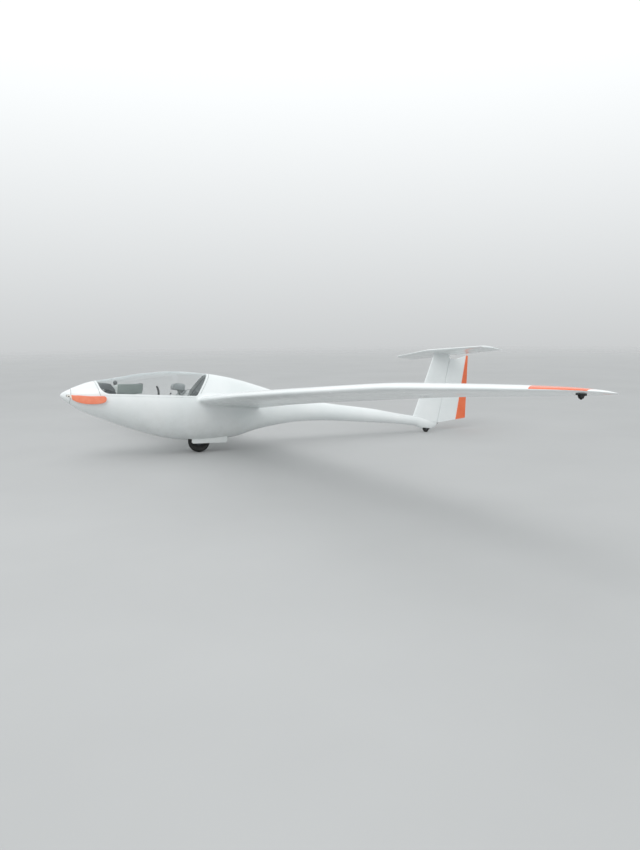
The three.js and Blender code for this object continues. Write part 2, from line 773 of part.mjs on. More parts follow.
// A pin on the straight hinge line of a flaperon, between two distances from the middle
function flapPin(side, flap, from, to, radius) {
  const ends = [flap.from, flap.to].map((y) => {
    const { station, level } = flapHinge(y);
    return at(station, side * y, level);
  });
  const span = flap.to - flap.from;
  const point = (y) => ends[0].clone().lerp(ends[1], (y - flap.from) / span);
  return bar(point(from), point(to), radius, radius, 12);
}

// The wing's two pins for a flaperon, or with play the two holes for them
function flapPins(side, flap, play, endPlay) {
  const reach = FLAP_PIN.reach + endPlay;
  const radius = FLAP_PIN.radius + play;
  return flapPin(side, flap, flap.from - RUN - FLAP_PIN.root, flap.from + reach, radius)
    .add(flapPin(side, flap, flap.to - reach, flap.to + RUN + FLAP_PIN.ribRoot, radius));
}

// The airbrake plate runs up and down in its slot, guided at both ends
function brakeSpace(side, half, endGap, under) {
  const [, lead, level, chord] = rowAt(WING, (BRAKE.from + BRAKE.to) / 2);
  const middle = lead + BRAKE.chord * chord;
  const ys = [side * (BRAKE.from - endGap), side * (BRAKE.to + endGap)].sort((a, b) => a - b);
  const base = level + BRAKE.top * chord - BRAKE.depth - under;
  return box([middle - half, middle + half], ys, [base, level + FAR]);
}

for (const [label, side] of [['left', 1], ['right', -1]]) {
  const whole = loft(WING_CUTS.map((y) => wingRing(side, y, 0)));
  let wing = whole.subtract(bodySeat);
  for (const flap of FLAPERONS) {
    wing = wing.subtract(flapSpace(side, flap));
  }
  for (const flap of FLAPERONS) {
    wing = wing.add(flapPins(side, flap, 0, 0));
  }
  wing = wing.subtract(brakeSpace(side, BRAKE.slot / 2, SEAT, BRAKE.under));
  // The airbrake's slot has a wall of its own inside the hollow
  const skin = wingSkin(BRAKE.from);
  const slotBox = brakeSpace(side, BRAKE.slot / 2 + skin, SEAT + skin, BRAKE.under + skin);
  const hollowCuts = [WING_HOLLOW.from, ...WING_CUTS.filter((y) => y <= WING_HOLLOW.to)];
  wing = wing.subtract(loft(hollowCuts.map((y) => wingHollowRing(side, y))).subtract(slotBox));
  add(`wing_${label}`, wing, WHITE);
  add(`airbrake_${label}`, whole.intersect(brakeSpace(side, BRAKE.thick / 2, 0, 0)), ALLOY);
  for (const flap of FLAPERONS) {
    const rings = flapStations(flap, 0).map((y) => flapRing(side, y));
    add(`${flap.name}_flaperon_${label}`,
      loft(rings).subtract(flapPins(side, flap, FLAP_PIN.play, FLAP_PIN.endPlay))
        .subtract(flapHollow(side, flap)), WHITE);
  }
}

// Tailplane

const elevatorNose = (y) => lerp(...ELEVATOR.nose, Math.abs(y) / STABILISER.tip);

// A symmetric section of the tailplane, cut off in front of the elevator's nose. Its two
// hollows use the same section from a front part on, and are open at the back.
function tailplaneRing(y, lead, grow, front, past) {
  const { steps, hinge, trail, thick, level } = STABILISER;
  const chord = trail - lead;
  const end = (hinge - elevatorNose(y) - RUN - lead) / chord;
  const ring = [];
  for (const side of [1, -1]) {
    for (let i = 0; i <= steps; i += 1) {
      const u = lerp(front, 1, side > 0 ? i / steps : 1 - i / steps);
      if (side < 0 && u === 0) continue;
      const x = end * u ** NOSE_CROWDING;
      const half = u === 0 ? 0 : halfDepth(x, thick) * chord + SKIN_EDGE + grow;
      ring.push(at(lead + x * chord + (u === 1 ? past : 0), y, level + side * half));
    }
  }
  return ring;
}

const { tip: tipEnd, kink, between, lead: leadMiddle, leadKink, leadTip } = STABILISER;
const leadBetween = lerp(leadMiddle, leadKink, between / kink);
const tailplaneRows = [
  [-tipEnd, leadTip],
  [-kink, leadKink],
  [-between, leadBetween],
  [0, leadMiddle],
  [between, leadBetween],
  [kink, leadKink],
  [tipEnd, leadTip],
];
const tailplaneLoft = (grow) =>
  loft(tailplaneRows.map(([y, lead]) => tailplaneRing(y, lead, grow, 0, grow)));
const tailplaneHollow = (side) => loft(STABILISER.hollow.map((y) =>
  tailplaneRing(side * y, lerp(leadMiddle, leadKink, y / kink), -STABILISER.skin,
    STABILISER.hollowFront, PAST)));

// A tongue behind the tailplane carries the pins of both halves of the elevator
const { tongue } = STABILISER;
const elevatorPins = (radius, reach) => bar(at(STABILISER.hinge, -reach, STABILISER.level),
  at(STABILISER.hinge, reach, STABILISER.level), radius, radius, 12);
const tongueBlank = box([tongue.front, STABILISER.hinge + tongue.back],
  [-tongue.half, tongue.half],
  [STABILISER.level - tongue.depth, STABILISER.level + tongue.depth]);
const tailplaneShell = tailplaneLoft(0).subtract(tailplaneHollow(1)).subtract(tailplaneHollow(-1));
add('tailplane', tailplaneShell.add(tongueBlank).add(elevatorPins(tongue.pin, tongue.reach)),
  WHITE);

// Fin and rudder

// One ring of the fin, or with a skin the ring of its hollow
function finRing(level, skin, front) {
  const t = (level - FIN.baseLevel) / (FIN.topLevel - FIN.baseLevel);
  const lead = lerp(FIN.leadBase, FIN.leadTop, t);
  const hingeT = (level - FIN.hingeBaseLevel) / (FIN.hingeTopLevel - FIN.hingeBaseLevel);
  const hinge = lerp(FIN.hingeBase, FIN.hingeTop, hingeT);
  const nose = lerp(RUDDER.nose[0], RUDDER.nose[1], hingeT);
  const back = hinge - nose - RUN;
  const thick = lerp(FIN.thickBase, FIN.thickTop, t);
  const ring = [];
  for (const side of [1, -1]) {
    for (let i = 0; i <= FIN.steps; i += 1) {
      const u = lerp(front, 1, side > 0 ? i / FIN.steps : 1 - i / FIN.steps);
      if (side < 0 && u === 0) continue;
      const shape = FIN.fullness * (Math.sqrt(u) - FIN.taper * u);
      ring.push(at(lerp(lead, back - skin, u), side * ((thick / 2) * shape - skin), level));
    }
  }
  return ring;
}

const finWhole = loft(FIN.cuts.map((level) => finRing(level, 0, 0)))
  .subtract(loft(FIN.hollow.map((level) => finRing(level, FIN.skin, FIN.hollowFront))));

// The rudder turns on two short pins, one under its foot and one above its head
const { low, high, half: lugHalf } = RUDDER_PINS;
const rudderPin = ({ level, reach }, extra) => {
  const ends = [level, level + reach].map((z) => at(rudderHinge(z).station, 0, z));
  return bar(ends[0], ends[1], RUDDER_PINS.radius + extra, RUDDER_PINS.radius + extra, 12);
};
const lowHinge = rudderHinge(low.level).station;
const lowLug = box([tailStations.at(-1) - low.root, lowHinge + lugHalf], [-lugHalf, lugHalf],
  [low.level - low.thick, low.level]);
const highHinge = rudderHinge(high.level).station;
const highLug = box([highHinge - high.root, highHinge + lugHalf], [-lugHalf, lugHalf],
  [high.level, high.level + high.thick]);
add('tail_fairing', tailFairing.add(lowLug).add(rudderPin(low, 0)), WHITE);

// The fairing grown by a seat, and past both of its ends
const seatRing = (station, past) =>
  bodyRing(TAIL_FAIRING, station, SEAT, TAIL_SIDES).map((p) => at(past - p.x, p.y, p.z));
const tailSeat = loft([
  seatRing(tailStations[0], -PAST),
  ...tailStations.map((s) => seatRing(s, 0)),
  seatRing(tailStations.at(-1), PAST),
]);
const underTongue = box([tongue.front - SEAT, RUDDER.trailTop[0]], [-FAR, FAR],
  [STABILISER.level - tongue.depth - SEAT, STABILISER.level + FAR]);
const finSolid = finWhole.subtract(bodySeat.add(tailSeat))
  .subtract(tailplaneLoft(SEAT).add(underTongue));
add('fin', finSolid.add(highLug).add(rudderPin(high, 0)), WHITE);

function rudderHinge(level) {
  const t = (level - FIN.hingeBaseLevel) / (FIN.hingeTopLevel - FIN.hingeBaseLevel);
  return {
    station: lerp(FIN.hingeBase, FIN.hingeTop, t),
    nose: lerp(RUDDER.nose[0], RUDDER.nose[1], t),
    trail: lerp(RUDDER.trailBottom[0], RUDDER.trailTop[0], t),
  };
}

function rudderRing(level) {
  const { station, nose, trail } = rudderHinge(level);
  const ring = [];
  for (let i = 0; i <= RUDDER.noseSteps; i += 1) {
    const angle = Math.PI / 2 + (i / RUDDER.noseSteps) * Math.PI;
    ring.push(at(station + nose * Math.cos(angle), nose * Math.sin(angle), level));
  }
  ring.push(at(trail, -RUDDER.trailHalf, level));
  ring.push(at(trail, RUDDER.trailHalf, level));
  return ring;
}

// The rudder's hollow is open at the nose, which the fin's rear face hides
function rudderHollowRing(level) {
  const { station, nose, trail } = rudderHinge(level);
  const half = nose - RUDDER.skin;
  const back = lerp(nose, RUDDER.trailHalf, RUDDER.hollow) - RUDDER.skin;
  const end = lerp(station, trail, RUDDER.hollow);
  const front = station - nose - RUN;
  return [[front, half], [station, half], [end, back], [end, -back], [station, -half], [front, -half]]
    .map(([s, y]) => at(s, y, level));
}

const rudderOutline = [
  [RUDDER.frontCut, RUDDER.frontBottom[1]],
  RUDDER.frontBottom,
  RUDDER.trailBottom,
  RUDDER.trailTop,
  RUDDER.dip,
  RUDDER.frontTop,
  [RUDDER.frontCut, RUDDER.frontTop[1]],
];
let rudder = loft(RUDDER.cuts.map(rudderRing)).intersect(sideExtrusion(rudderOutline, -FAR, FAR))
  .subtract(loft(RUDDER.hollowCuts.map(rudderHollowRing)));
for (const end of [low, high]) {
  const reach = end.reach + Math.sign(end.reach) * RUDDER_PINS.endPlay;
  rudder = rudder.subtract(rudderPin({ ...end, reach }, RUDDER_PINS.play));
}
add('rudder', rudder, WHITE);

// Elevator: two halves that turn as one

function elevatorRing(y, side, rake) {
  const { hinge, trail, level } = STABILISER;
  const nose = elevatorNose(y);
  const droop = THREE.MathUtils.degToRad(ELEVATOR.droop);
  const ring = [];
  for (let i = 0; i <= ELEVATOR.noseSteps; i += 1) {
    const angle = Math.PI / 2 + (i / ELEVATOR.noseSteps) * Math.PI;
    ring.push(at(hinge + nose * Math.cos(angle), side * y, level + nose * Math.sin(angle)));
  }
  for (const up of [-ELEVATOR.trailHalf, ELEVATOR.trailHalf]) {
    ring.push(at(hinge + (trail - hinge) * Math.cos(droop), side * (y + rake),
      level - (trail - hinge) * Math.sin(droop) + up));
  }
  return ring;
}

const pinHoles = elevatorPins(tongue.pin + tongue.play, tongue.reach + tongue.endPlay);
for (const [label, side] of [['left', 1], ['right', -1]]) {
  const rings = [[ELEVATOR.inner, 0], [ELEVATOR.between, 0], [STABILISER.tip, ELEVATOR.rake]]
    .map(([y, rake]) => elevatorRing(y, side, rake));
  add(`elevator_${label}`, loft(rings).subtract(pinHoles), WHITE);
}

// Wheels

const axlePoint = (wheel, y) => at(wheel.station, y, wheel.level);

function tyre(wheel, side, sides) {
  const { radius, tube, rim: beadRadius } = wheel;
  const bead = tube * TYRE.bead;
  const profile = [[beadRadius, -bead]];
  for (let i = 0; i <= TYRE.rings; i += 1) {
    const angle = lerp(-TYRE.sweep, TYRE.sweep, i / TYRE.rings);
    profile.push([radius - tube + tube * Math.cos(angle), tube * Math.sin(angle)]);
  }
  profile.push([beadRadius, bead], [beadRadius, -bead]);
  return turned(profile, axlePoint(wheel, side * wheel.y), sides);
}

function rim(wheel, side, sides) {
  const { rim: seatRadius, tube, bore } = wheel;
  const outer = seatRadius - SEAT;
  const inner = Math.max(outer - RIM.flange, bore + 1);
  const wide = tube * TYRE.bead;
  const profile = [
    [bore, -wide], [inner, -wide * RIM.dish], [outer, -wide], [outer, wide],
    [inner, wide * RIM.dish], [bore, wide], [bore, -wide],
  ];
  return turned(profile, axlePoint(wheel, side * wheel.y), sides);
}

function axle(wheel, side, radius, half, sides) {
  const y = side * wheel.y;
  return bar(axlePoint(wheel, y - half), axlePoint(wheel, y + half), radius, radius, sides);
}

add('main_tyre', tyre(MAIN_WHEEL, 1, 36), RUBBER);
add('main_rim', rim(MAIN_WHEEL, 1, 24), ALLOY);
add('main_axle', axle(MAIN_WHEEL, 1, MAIN_WHEEL.axle, MAIN_WHEEL.half, 16), STEEL);
const legHole = axle(MAIN_WHEEL, 1, MAIN_WHEEL.axle + SEAT, FAR, 16);
for (const [label, side] of [['left', 1], ['right', -1]]) {
  const legY = [side * GEAR_LEG.inner, side * GEAR_LEG.outer].sort((a, b) => a - b);
  add(`gear_leg_${label}`, sideExtrusion(GEAR_LEG.outline, ...legY).subtract(legHole), STEEL);
  const doorY = [side * DOOR.inner, side * DOOR.outer].sort((a, b) => a - b);
  add(`gear_door_${label}`, sideExtrusion(DOOR.outline, ...doorY).subtract(bodySeat), WHITE);
}

add('tail_tyre', tyre(TAIL_WHEEL, 1, 24), RUBBER);
add('tail_rim', rim(TAIL_WHEEL, 1, 16), ALLOY);
add('tail_axle', axle(TAIL_WHEEL, 1, TAIL_WHEEL.axle, TAIL_WHEEL.half, 12), STEEL);

for (const [label, side] of [['left', 1], ['right', -1]]) {
  const y = side * TIP_WHEEL.y;
  add(`tip_tyre_${label}`, tyre(TIP_WHEEL, side, 20), RUBBER);
  add(`tip_rim_${label}`, rim(TIP_WHEEL, side, 12), ALLOY);
  const { cheek, inner, outer, blocks, blockLevels } = TIP_BRACKET;
  const cheekOn = (edge) =>
    sideExtrusion(cheek, ...[y + edge * inner, y + edge * outer].sort((a, b) => a - b));
  const bracket = cheekOn(1)
    .add(cheekOn(-1))
    .add(box(blocks[0], [y - outer, y + outer], blockLevels))
    .add(box(blocks[1], [y - outer, y + outer], blockLevels))
    .add(axle(TIP_WHEEL, side, TIP_WHEEL.axle, TIP_WHEEL.half, 10));
  const wingSeat = loft(WING_CUTS.map((u) => wingRing(side, u, SEAT)));
  add(`tip_bracket_${label}`, bracket.subtract(wingSeat), BLACK);
}

// Propeller

const spinnerProfile = [[0, 0]];
for (let i = 1; i <= SPINNER.rings; i += 1) {
  const t = i / SPINNER.rings;
  spinnerProfile.push([SPINNER.radius * t ** SPINNER.bluntness, -SPINNER.length * t]);
}
spinnerProfile.push([SPINNER.radius - SPINNER.edge, -SPINNER.back], [0, -SPINNER.back]);
const noseward = new THREE.Matrix4().makeRotationZ(-Math.PI / 2);
const spinnerGeometry = new THREE.LatheGeometry(
  spinnerProfile.map(([r, d]) => new THREE.Vector2(r, d)), 24);
let spinner = fromGeometry(spinnerGeometry, noseward);
// A bar on a blade's pivot line, reaching the same way up and down
const pivotBar = (side, half, radius, sides) => {
  const end = (z) => at(BLADE.pivotStation, side * BLADE.pivotRadius, z);
  return bar(end(-half), end(half), radius, radius, sides);
};
for (const side of [1, -1]) {
  const inner = BLADE.pivotRadius - BLADE.eye - BLADE.slotSide;
  const ys = [side * inner, side * BLADE.slotOut].sort((a, b) => a - b);
  const stations = [BLADE.pivotStation - BLADE.eye - BLADE.slotSide, BLADE.slotRear];
  spinner = spinner.subtract(box(stations, ys, [-BLADE.slot / 2, BLADE.slot / 2]))
    .add(pivotBar(side, BLADE.slot / 2 + BLADE.pinRoot, BLADE.pin, 12));
}
const shaft = bar(at(SPINNER.back - SPINNER.shaftRoot, 0, 0), at(MOTOR.front - SEAT, 0, 0),
  MOTOR.shaft, MOTOR.shaft, 16);
add('spinner', spinner.add(shaft), WHITE);

for (const [label, side] of [['left', 1], ['right', -1]]) {
  const rings = BLADE.sections.map(([station, out, width, thick, drop]) => {
    const ring = [];
    for (let i = 0; i < BLADE.sides; i += 1) {
      const angle = (i / BLADE.sides) * 2 * Math.PI;
      ring.push(at(station, side * (out + (thick / 2) * Math.cos(angle)),
        (width / 2) * Math.sin(angle) - side * drop));
    }
    return ring;
  });
  const eye = pivotBar(side, BLADE.height / 2, BLADE.eye, 16);
  const hole = pivotBar(side, BLADE.height, BLADE.hole, 16);
  const [firstStation, firstOut] = BLADE.sections[0];
  const root = bar(at(BLADE.pivotStation, side * BLADE.pivotRadius, 0),
    at(firstStation + BLADE.rootEnd, side * (firstOut + BLADE.rootEnd), 0),
    BLADE.rootRadius, BLADE.rootRadius, 12);
  add(`blade_${label}`, loft(rings).add(eye).add(root).subtract(hole), ORANGE);
}

const motorBody = bar(at(MOTOR.front, 0, 0), at(MOTOR.back, 0, 0), MOTOR.radius, MOTOR.radius, 32);
add('motor', motorBody, ALLOY);
add('firewall', box([MOTOR.back + SEAT, MOTOR.back + FIREWALL], [-FAR, FAR], [-FAR, FAR])
  .intersect(cabinFit), GREY);

// Cockpit

// The outline of a sheet that follows a smooth path
function ribbon(path, thick, steps) {
  const points = path.map(([s, z]) => new THREE.Vector2(s, z));
  const curve = new THREE.SplineCurve(points);
  const upper = [];
  const lower = [];
  for (let i = 0; i <= steps; i += 1) {
    const p = curve.getPoint(i / steps);
    const d = curve.getTangent(i / steps);
    upper.push([p.x - (d.y * thick) / 2, p.y + (d.x * thick) / 2]);
    lower.push([p.x + (d.y * thick) / 2, p.y - (d.x * thick) / 2]);
  }
  return [...upper, ...lower.reverse()];
}

const seatRibbon = (extra) => sideExtrusion(
  ribbon(SEAT_PAN.path, SEAT_PAN.thick + 2 * extra, SEAT_PAN.steps),
  -SEAT_PAN.half, SEAT_PAN.half);
add('seat_pan', seatRibbon(0).intersect(cabinFit), GREY);
const across = (piece) => sideExtrusion(piece.outline, -piece.half, piece.half);
add('headrest', across(HEADREST).subtract(seatRibbon(SEAT)).intersect(cabinFit), CLOTH);

const [sheetLow, , , sheetTop] = BULKHEAD.outline.map(([s, z]) => new THREE.Vector2(s, z));
const sheetAlong = sheetTop.clone().sub(sheetLow).normalize();
const sheetNormal = new THREE.Vector2(-sheetAlong.y, sheetAlong.x);
const plateMiddle = sheetLow.clone().lerp(sheetTop, HARNESS_PLATE.place);
const plateOutline = [[-1, -1], [1, -1], [1, 1], [-1, 1]].map(([u, v]) => plateMiddle.clone()
  .addScaledVector(sheetAlong, (u * HARNESS_PLATE.high) / 2)
  .addScaledVector(sheetNormal, v > 0 ? HARNESS_PLATE.proud : -HARNESS_PLATE.root)
  .toArray());
add('rear_bulkhead', sideExtrusion(BULKHEAD.outline, -FAR, FAR).intersect(cabinFit)
  .add(sideExtrusion(plateOutline, -HARNESS_PLATE.half, HARNESS_PLATE.half)), GREY);

add('instrument_panel', across(PANEL).intersect(cabinFit), BLACK);
const { pedestal } = PANEL;
const pedestalBlank = box([pedestal.front, pedestal.rear], [-pedestal.half, pedestal.half],
  [-FAR, pedestal.top]);
add('panel_pedestal', pedestalBlank.intersect(cabinFit), GREY);

const compassBall = fromGeometry(new THREE.SphereGeometry(COMPASS.radius, 16, 10),
  new THREE.Matrix4().makeTranslation(at(COMPASS.station, 0, COMPASS.level)));
const compassFoot = bar(at(COMPASS.station, 0, COMPASS.foot), at(COMPASS.station, 0, COMPASS.level),
  COMPASS.base, COMPASS.base, 12);
const panelTop = sideExtrusion(PANEL.outline.map(([s, z]) => [s, z + SEAT]), -FAR, FAR);
add('compass', compassBall.add(compassFoot).subtract(panelTop), BLACK);

const [foot, bend, tip] = STICK.path.map(([s, z]) => at(s, 0, z));
const stick = bar(foot, bend, STICK.radius, STICK.radius, 12)
  .add(bar(bend, tip, STICK.radius, STICK.grip, 12));
add('control_stick', stick.subtract(seatRibbon(SEAT)), BLACK);

let pedals = bar(at(PEDALS.station, -FAR, PEDALS.level), at(PEDALS.station, FAR, PEDALS.level),
  PEDALS.tube, PEDALS.tube, 12);
for (const side of [1, -1]) {
  const middle = side * PEDALS.middle;
  pedals = pedals.add(box([PEDALS.station - PEDALS.half, PEDALS.station + PEDALS.half],
    [middle - PEDALS.width / 2, middle + PEDALS.width / 2],
    [PEDALS.level - PEDALS.low, PEDALS.level + PEDALS.high]));
}
add('rudder_pedals', pedals.intersect(cabinFit), STEEL);

for (const [label, side] of [['left', 1], ['right', -1]]) {
  const ys = [side * BATTERY.inner, side * BATTERY.outer].sort((a, b) => a - b);
  add(`battery_${label}`, box([BATTERY.front, BATTERY.rear], ys,
    [WELL.roof + SKIN + SEAT, BATTERY.top]), GREY);
}

// Parked attitude: tip the airframe until the three lowest wheels share one level

const contacts = [
  { wheel: MAIN_WHEEL, centre: axlePoint(MAIN_WHEEL, 0) },
  { wheel: TAIL_WHEEL, centre: axlePoint(TAIL_WHEEL, 0) },
  { wheel: TIP_WHEEL, centre: axlePoint(TIP_WHEEL, -TIP_WHEEL.y) },
];
const AXLE = new THREE.Vector3(0, 1, 0);

function lowestPoint({ wheel, centre }, up) {
  const outward = up.clone().negate();
  outward.addScaledVector(AXLE, -outward.dot(AXLE)).normalize();
  return centre.clone()
    .addScaledVector(outward, wheel.radius - wheel.tube)
    .addScaledVector(up, -wheel.tube);
}

const up = new THREE.Vector3(0, 0, 1);
for (let i = 0; i < 8; i += 1) {
  const [a, b, c] = contacts.map((contact) => lowestPoint(contact, up));
  up.copy(b.sub(a).cross(c.sub(a)).normalize());
  if (up.z < 0) up.negate();
}

const forward = new THREE.Vector3(1, 0, 0);
forward.addScaledVector(up, -forward.dot(up)).normalize();
const leftward = up.clone().cross(forward);
const parked = new THREE.Matrix4().makeBasis(forward, leftward, up).transpose();

const airframe = new THREE.Group();
airframe.add(...meshes);
airframe.applyMatrix4(parked);

const group = new THREE.Group();
group.add(airframe);
group.updateMatrixWorld(true);
const bounds = new THREE.Box3().setFromObject(group, true);
const middle = bounds.getCenter(new THREE.Vector3());
group.position.set(-middle.x, -middle.y, -bounds.min.z);
group.updateMatrixWorld(true);

export default group;
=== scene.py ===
import bisect
import json
import math

import bmesh
import bpy
from mathutils import Matrix, Vector
from mathutils.bvhtree import BVHTree


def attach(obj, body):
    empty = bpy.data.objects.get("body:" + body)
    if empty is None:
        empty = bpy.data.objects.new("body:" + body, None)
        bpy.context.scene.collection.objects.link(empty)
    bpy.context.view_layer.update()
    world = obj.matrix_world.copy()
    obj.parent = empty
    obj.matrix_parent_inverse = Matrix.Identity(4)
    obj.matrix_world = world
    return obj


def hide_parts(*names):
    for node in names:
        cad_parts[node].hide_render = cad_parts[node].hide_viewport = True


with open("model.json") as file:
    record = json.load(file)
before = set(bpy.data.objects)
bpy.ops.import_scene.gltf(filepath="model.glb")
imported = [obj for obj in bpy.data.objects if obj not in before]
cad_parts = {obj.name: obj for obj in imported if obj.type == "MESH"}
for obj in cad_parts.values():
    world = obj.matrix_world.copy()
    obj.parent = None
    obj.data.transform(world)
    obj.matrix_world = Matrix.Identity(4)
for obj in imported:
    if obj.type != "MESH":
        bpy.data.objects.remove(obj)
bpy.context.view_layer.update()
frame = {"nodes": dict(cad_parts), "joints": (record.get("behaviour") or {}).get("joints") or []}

# Airframe directions and the nose datum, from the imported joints. Pieces are made in
# airframe millimetres, (-station, left, up), and then placed in the row frame.
JOINTS = {joint["name"]: joint for joint in frame["joints"]}
FORWARD = Vector(JOINTS["propeller_spin"]["axis"]).normalized()
PORT = Vector(JOINTS["main_wheel_spin"]["axis"]).normalized()
UP = FORWARD.cross(PORT).normalized()
MAIN_AXLE = (1823, 0, -442)
NOSE = (Vector(JOINTS["main_wheel_spin"]["pos_m"])
        + FORWARD * MAIN_AXLE[0] / 1000 - UP * MAIN_AXLE[2] / 1000)
TURN = Matrix((FORWARD, PORT, UP)).transposed()
PLACE = Matrix.Translation(NOSE) @ TURN.to_4x4() @ Matrix.Scale(0.001, 4)
BACK = PLACE.inverted()
FAR = 600
CENTRE = Vector((0, 0, 0))
ACROSS = Vector((0, 1, 0))

# Fuselage sections: station, top, bottom, half width, level of the widest place
FUSELAGE = [
    [100, 88, -86, 87, 0], [200, 142, -140, 141, 0], [300, 190, -182, 184, 0],
    [400, 226, -214, 216, 0], [540, 264, -254, 243, 0], [720, 313, -302, 263, 2],
    [900, 366, -347, 279, 5], [1100, 409, -387, 290, 8], [1300, 445, -421, 295, 10],
    [1500, 464, -439, 294, 12], [1700, 472, -442, 287, 15], [1900, 471, -425, 272, 22],
    [2120, 459, -390, 248, 32], [2350, 432, -335, 215, 50], [2600, 389, -236, 183, 75],
    [2900, 332, -145, 158, 92], [3300, 272, -60, 137, 104], [3800, 240, -8, 121, 113],
    [4450, 229, 18, 105, 120], [5030, 193, 37, 78, 114], [5320, 180, 31, 60, 106],
]
TAIL_FAIRING = [
    [5320.3, 180, 31, 60, 106], [5400, 178, 6, 56, 100], [5450, 176, -2, 54, 96],
    [5600, 168, -3, 46, 92], [5650, 160, 20, 41, 92], [5697, 150, 52, 35, 100],
]
SKIN = 14
BODY_FRONT = 116
BODY_STATIONS = [BODY_FRONT + (5320 - BODY_FRONT) * (i / 110) ** 1.3 for i in range(111)]
FRONT_STATIONS = [s for s in BODY_STATIONS if s < 2700]
# Canopy outline in side view, then for each of its edges the gap, and the frame's width
CANOPY = [[247, 560], [451, 35], [1676, 122], [1914, 560]]
CANOPY_GAPS = [4, 2, 4, 4]
CANOPY_FRAME = [24, 25, 24, 0]
WINDOW_CORNERS = [0, 130, 40, 0]
HINGE_STATIONS = {"front": 760, "rear": 1480}
HINGE_OUT = 306
LATCH = 1325
# Wing sections: distance out, leading edge, level, chord, angle in degrees, thickness
WING = [
    [150, 1688, 93, 885, 1.7, 0.15], [700, 1698, 108, 850, 1.7, 0.148],
    [1500, 1712, 126, 800, 1.6, 0.145], [3000, 1738, 138, 722, 1.5, 0.142],
    [4450, 1764, 143, 652, 1.4, 0.138], [5400, 1786, 119, 520, 1.0, 0.132],
    [6050, 1806, 97, 408, 0.5, 0.125], [6320, 1830, 88, 338, 0.3, 0.115],
    [6480, 1868, 84, 262, 0.2, 0.1], [6590, 1928, 80, 160, 0.1, 0.09],
    [6650, 2000, 77, 30, 0, 0.09],
]
CAMBER = 0.032
TRAIL_HALF = 0.0008
FLAP_CHORD = 0.19
FLAP_NOSE = 0.92
FLAPERONS = [("inner", 345, 4420), ("outer", 4440, 6030)]
FILLET = 52
BRAKE = (2420, 3420)
BRAKE_CHORD = 0.47
BRAKE_SLOT = 24
FIN_LEVELS = (120, 1236)
RUDDER_LEVELS = (117, 1206)
RUDDER_OUTLINE = [[5600, 120], [5742, 120], [6289, 238], [6256, 1262], [6010, 1166],
                  [5895, 1150], [5600, 1150]]
TAILPLANE_LEVEL = 1236
TAILPLANE_HALF = 1141
ELEVATOR_HINGE = 5826
ELEVATOR_DROOP = 5
TAILPLANE_TRAIL = 5962
TAILPLANE_ROWS = [(0, 5428), (1110, 5608), (TAILPLANE_HALF, 5800)]
GEAR_DOOR = [[1694, -360], [2190, -320], [2190, -435], [1699, -484]]
WELL = {"stations": (1652, 2196), "half": 74, "roof": -262}
# Wheels: name, body, station, y, level, radius, radius of the tyre's tube, rim, bore, grooves
WHEELS = [
    ("main_{}", "main_wheel", 1823, 0, -442, 150, 48, 66, 14, (-20, 0, 20)),
    ("tail_{}", "tail_wheel", 5526, 0, 9, 60, 17, 30, 6, (-5, 5)),
    ("tip_{}_left", "tip_wheel_left", 2010, 6400, 60, 15, 5, 7.5, 2.8, ()),
    ("tip_{}_right", "tip_wheel_right", 2010, -6400, 60, 15, 5, 7.5, 2.8, ()),
]
# Folded blade: station, outward distance of its middle, width, thickness, drop
BLADE = [
    [92, 84, 27, 10, 0], [106, 99, 34, 10, 3], [118, 110, 46, 10, 9], [150, 130, 64, 9.5, 20],
    [200, 157, 86, 9, 28], [290, 200, 98, 8.5, 34], [400, 243, 98, 7.5, 26], [465, 264, 90, 6.5, 15],
    [496, 271, 74, 5, 10], [508, 274, 52, 4.5, 8], [514, 275.5, 28, 4, 7],
]
BLADE_PIVOT = (84, 62)
SEAT_PATH = [[930, -170], [1030, -215], [1150, -310], [1260, -330], [1350, -250], [1440, -80],
             [1510, 90], [1560, 210]]
# Heights over the seat's middle surface: a pad's underside, and a strap on the pads
PAD_BASE = 8.5
STRAP_LIFT = 38
PANEL = [[450, 62], [540, 140], [640, 190], [700, 212], [955, 243], [976, 236], [972, 120],
         [930, 112], [700, 84]]
PANEL_HALF = 150
DIAL_FACE = 977.6
# Dials: left of the middle, level, radius
DIALS = [(94, 176, 35), (12, 176, 35), (-54, 200, 18), (-54, 152, 18), (-104, 176, 25)]
HEADREST = (1392, 1556, 208, 298, 88)
STICK = [[1138, -292], [1176, -120], [1222, 60], [1226, 132], [1212, 196], [1190, 236]]
PEDALS = (628, -120, 96)
COMPASS = (655, 226)
HARNESS_PLATE = (1734.5, 193.2)
SIDES = (("left", 1), ("right", -1))


def lerp(a, b, t):
    return a + (b - a) * t


def at(station, y, z):
    return Vector((-station, y, z))


def spread(low, high, count):
    return [lerp(low, high, i / (count - 1)) for i in range(count)]


def turns(sides):
    return [2 * math.pi * i / sides for i in range(sides)]


def front_arc(radius, steps):
    """Half a circle round a hinge: over the top, the front and the bottom."""
    return [(radius * math.cos(a), radius * math.sin(a))
            for a in spread(math.pi / 2, 1.5 * math.pi, steps + 1)]


def out_and_back(count):
    """Side and part of the chord, along a section's left face and back along its right one."""
    parts = [i / count for i in range(count + 1)]
    return [(1, u) for u in parts] + [(-1, u) for u in parts[:0:-1]]


def smooth(points, steps):
    """Points along a smooth curve through the given ones."""
    ends = [points[0], *points, points[-1]]
    path = []
    for i in range(len(points) - 1):
        for k in range(steps):
            t = k / steps
            path.append([0.5 * (2 * b + (c - a) * t + (2 * a - 5 * b + 4 * c - d) * t**2
                                + (3 * b - a - 3 * c + d) * t**3)
                         for a, b, c, d in zip(*ends[i:i + 4])])
    return path + [list(points[-1])]


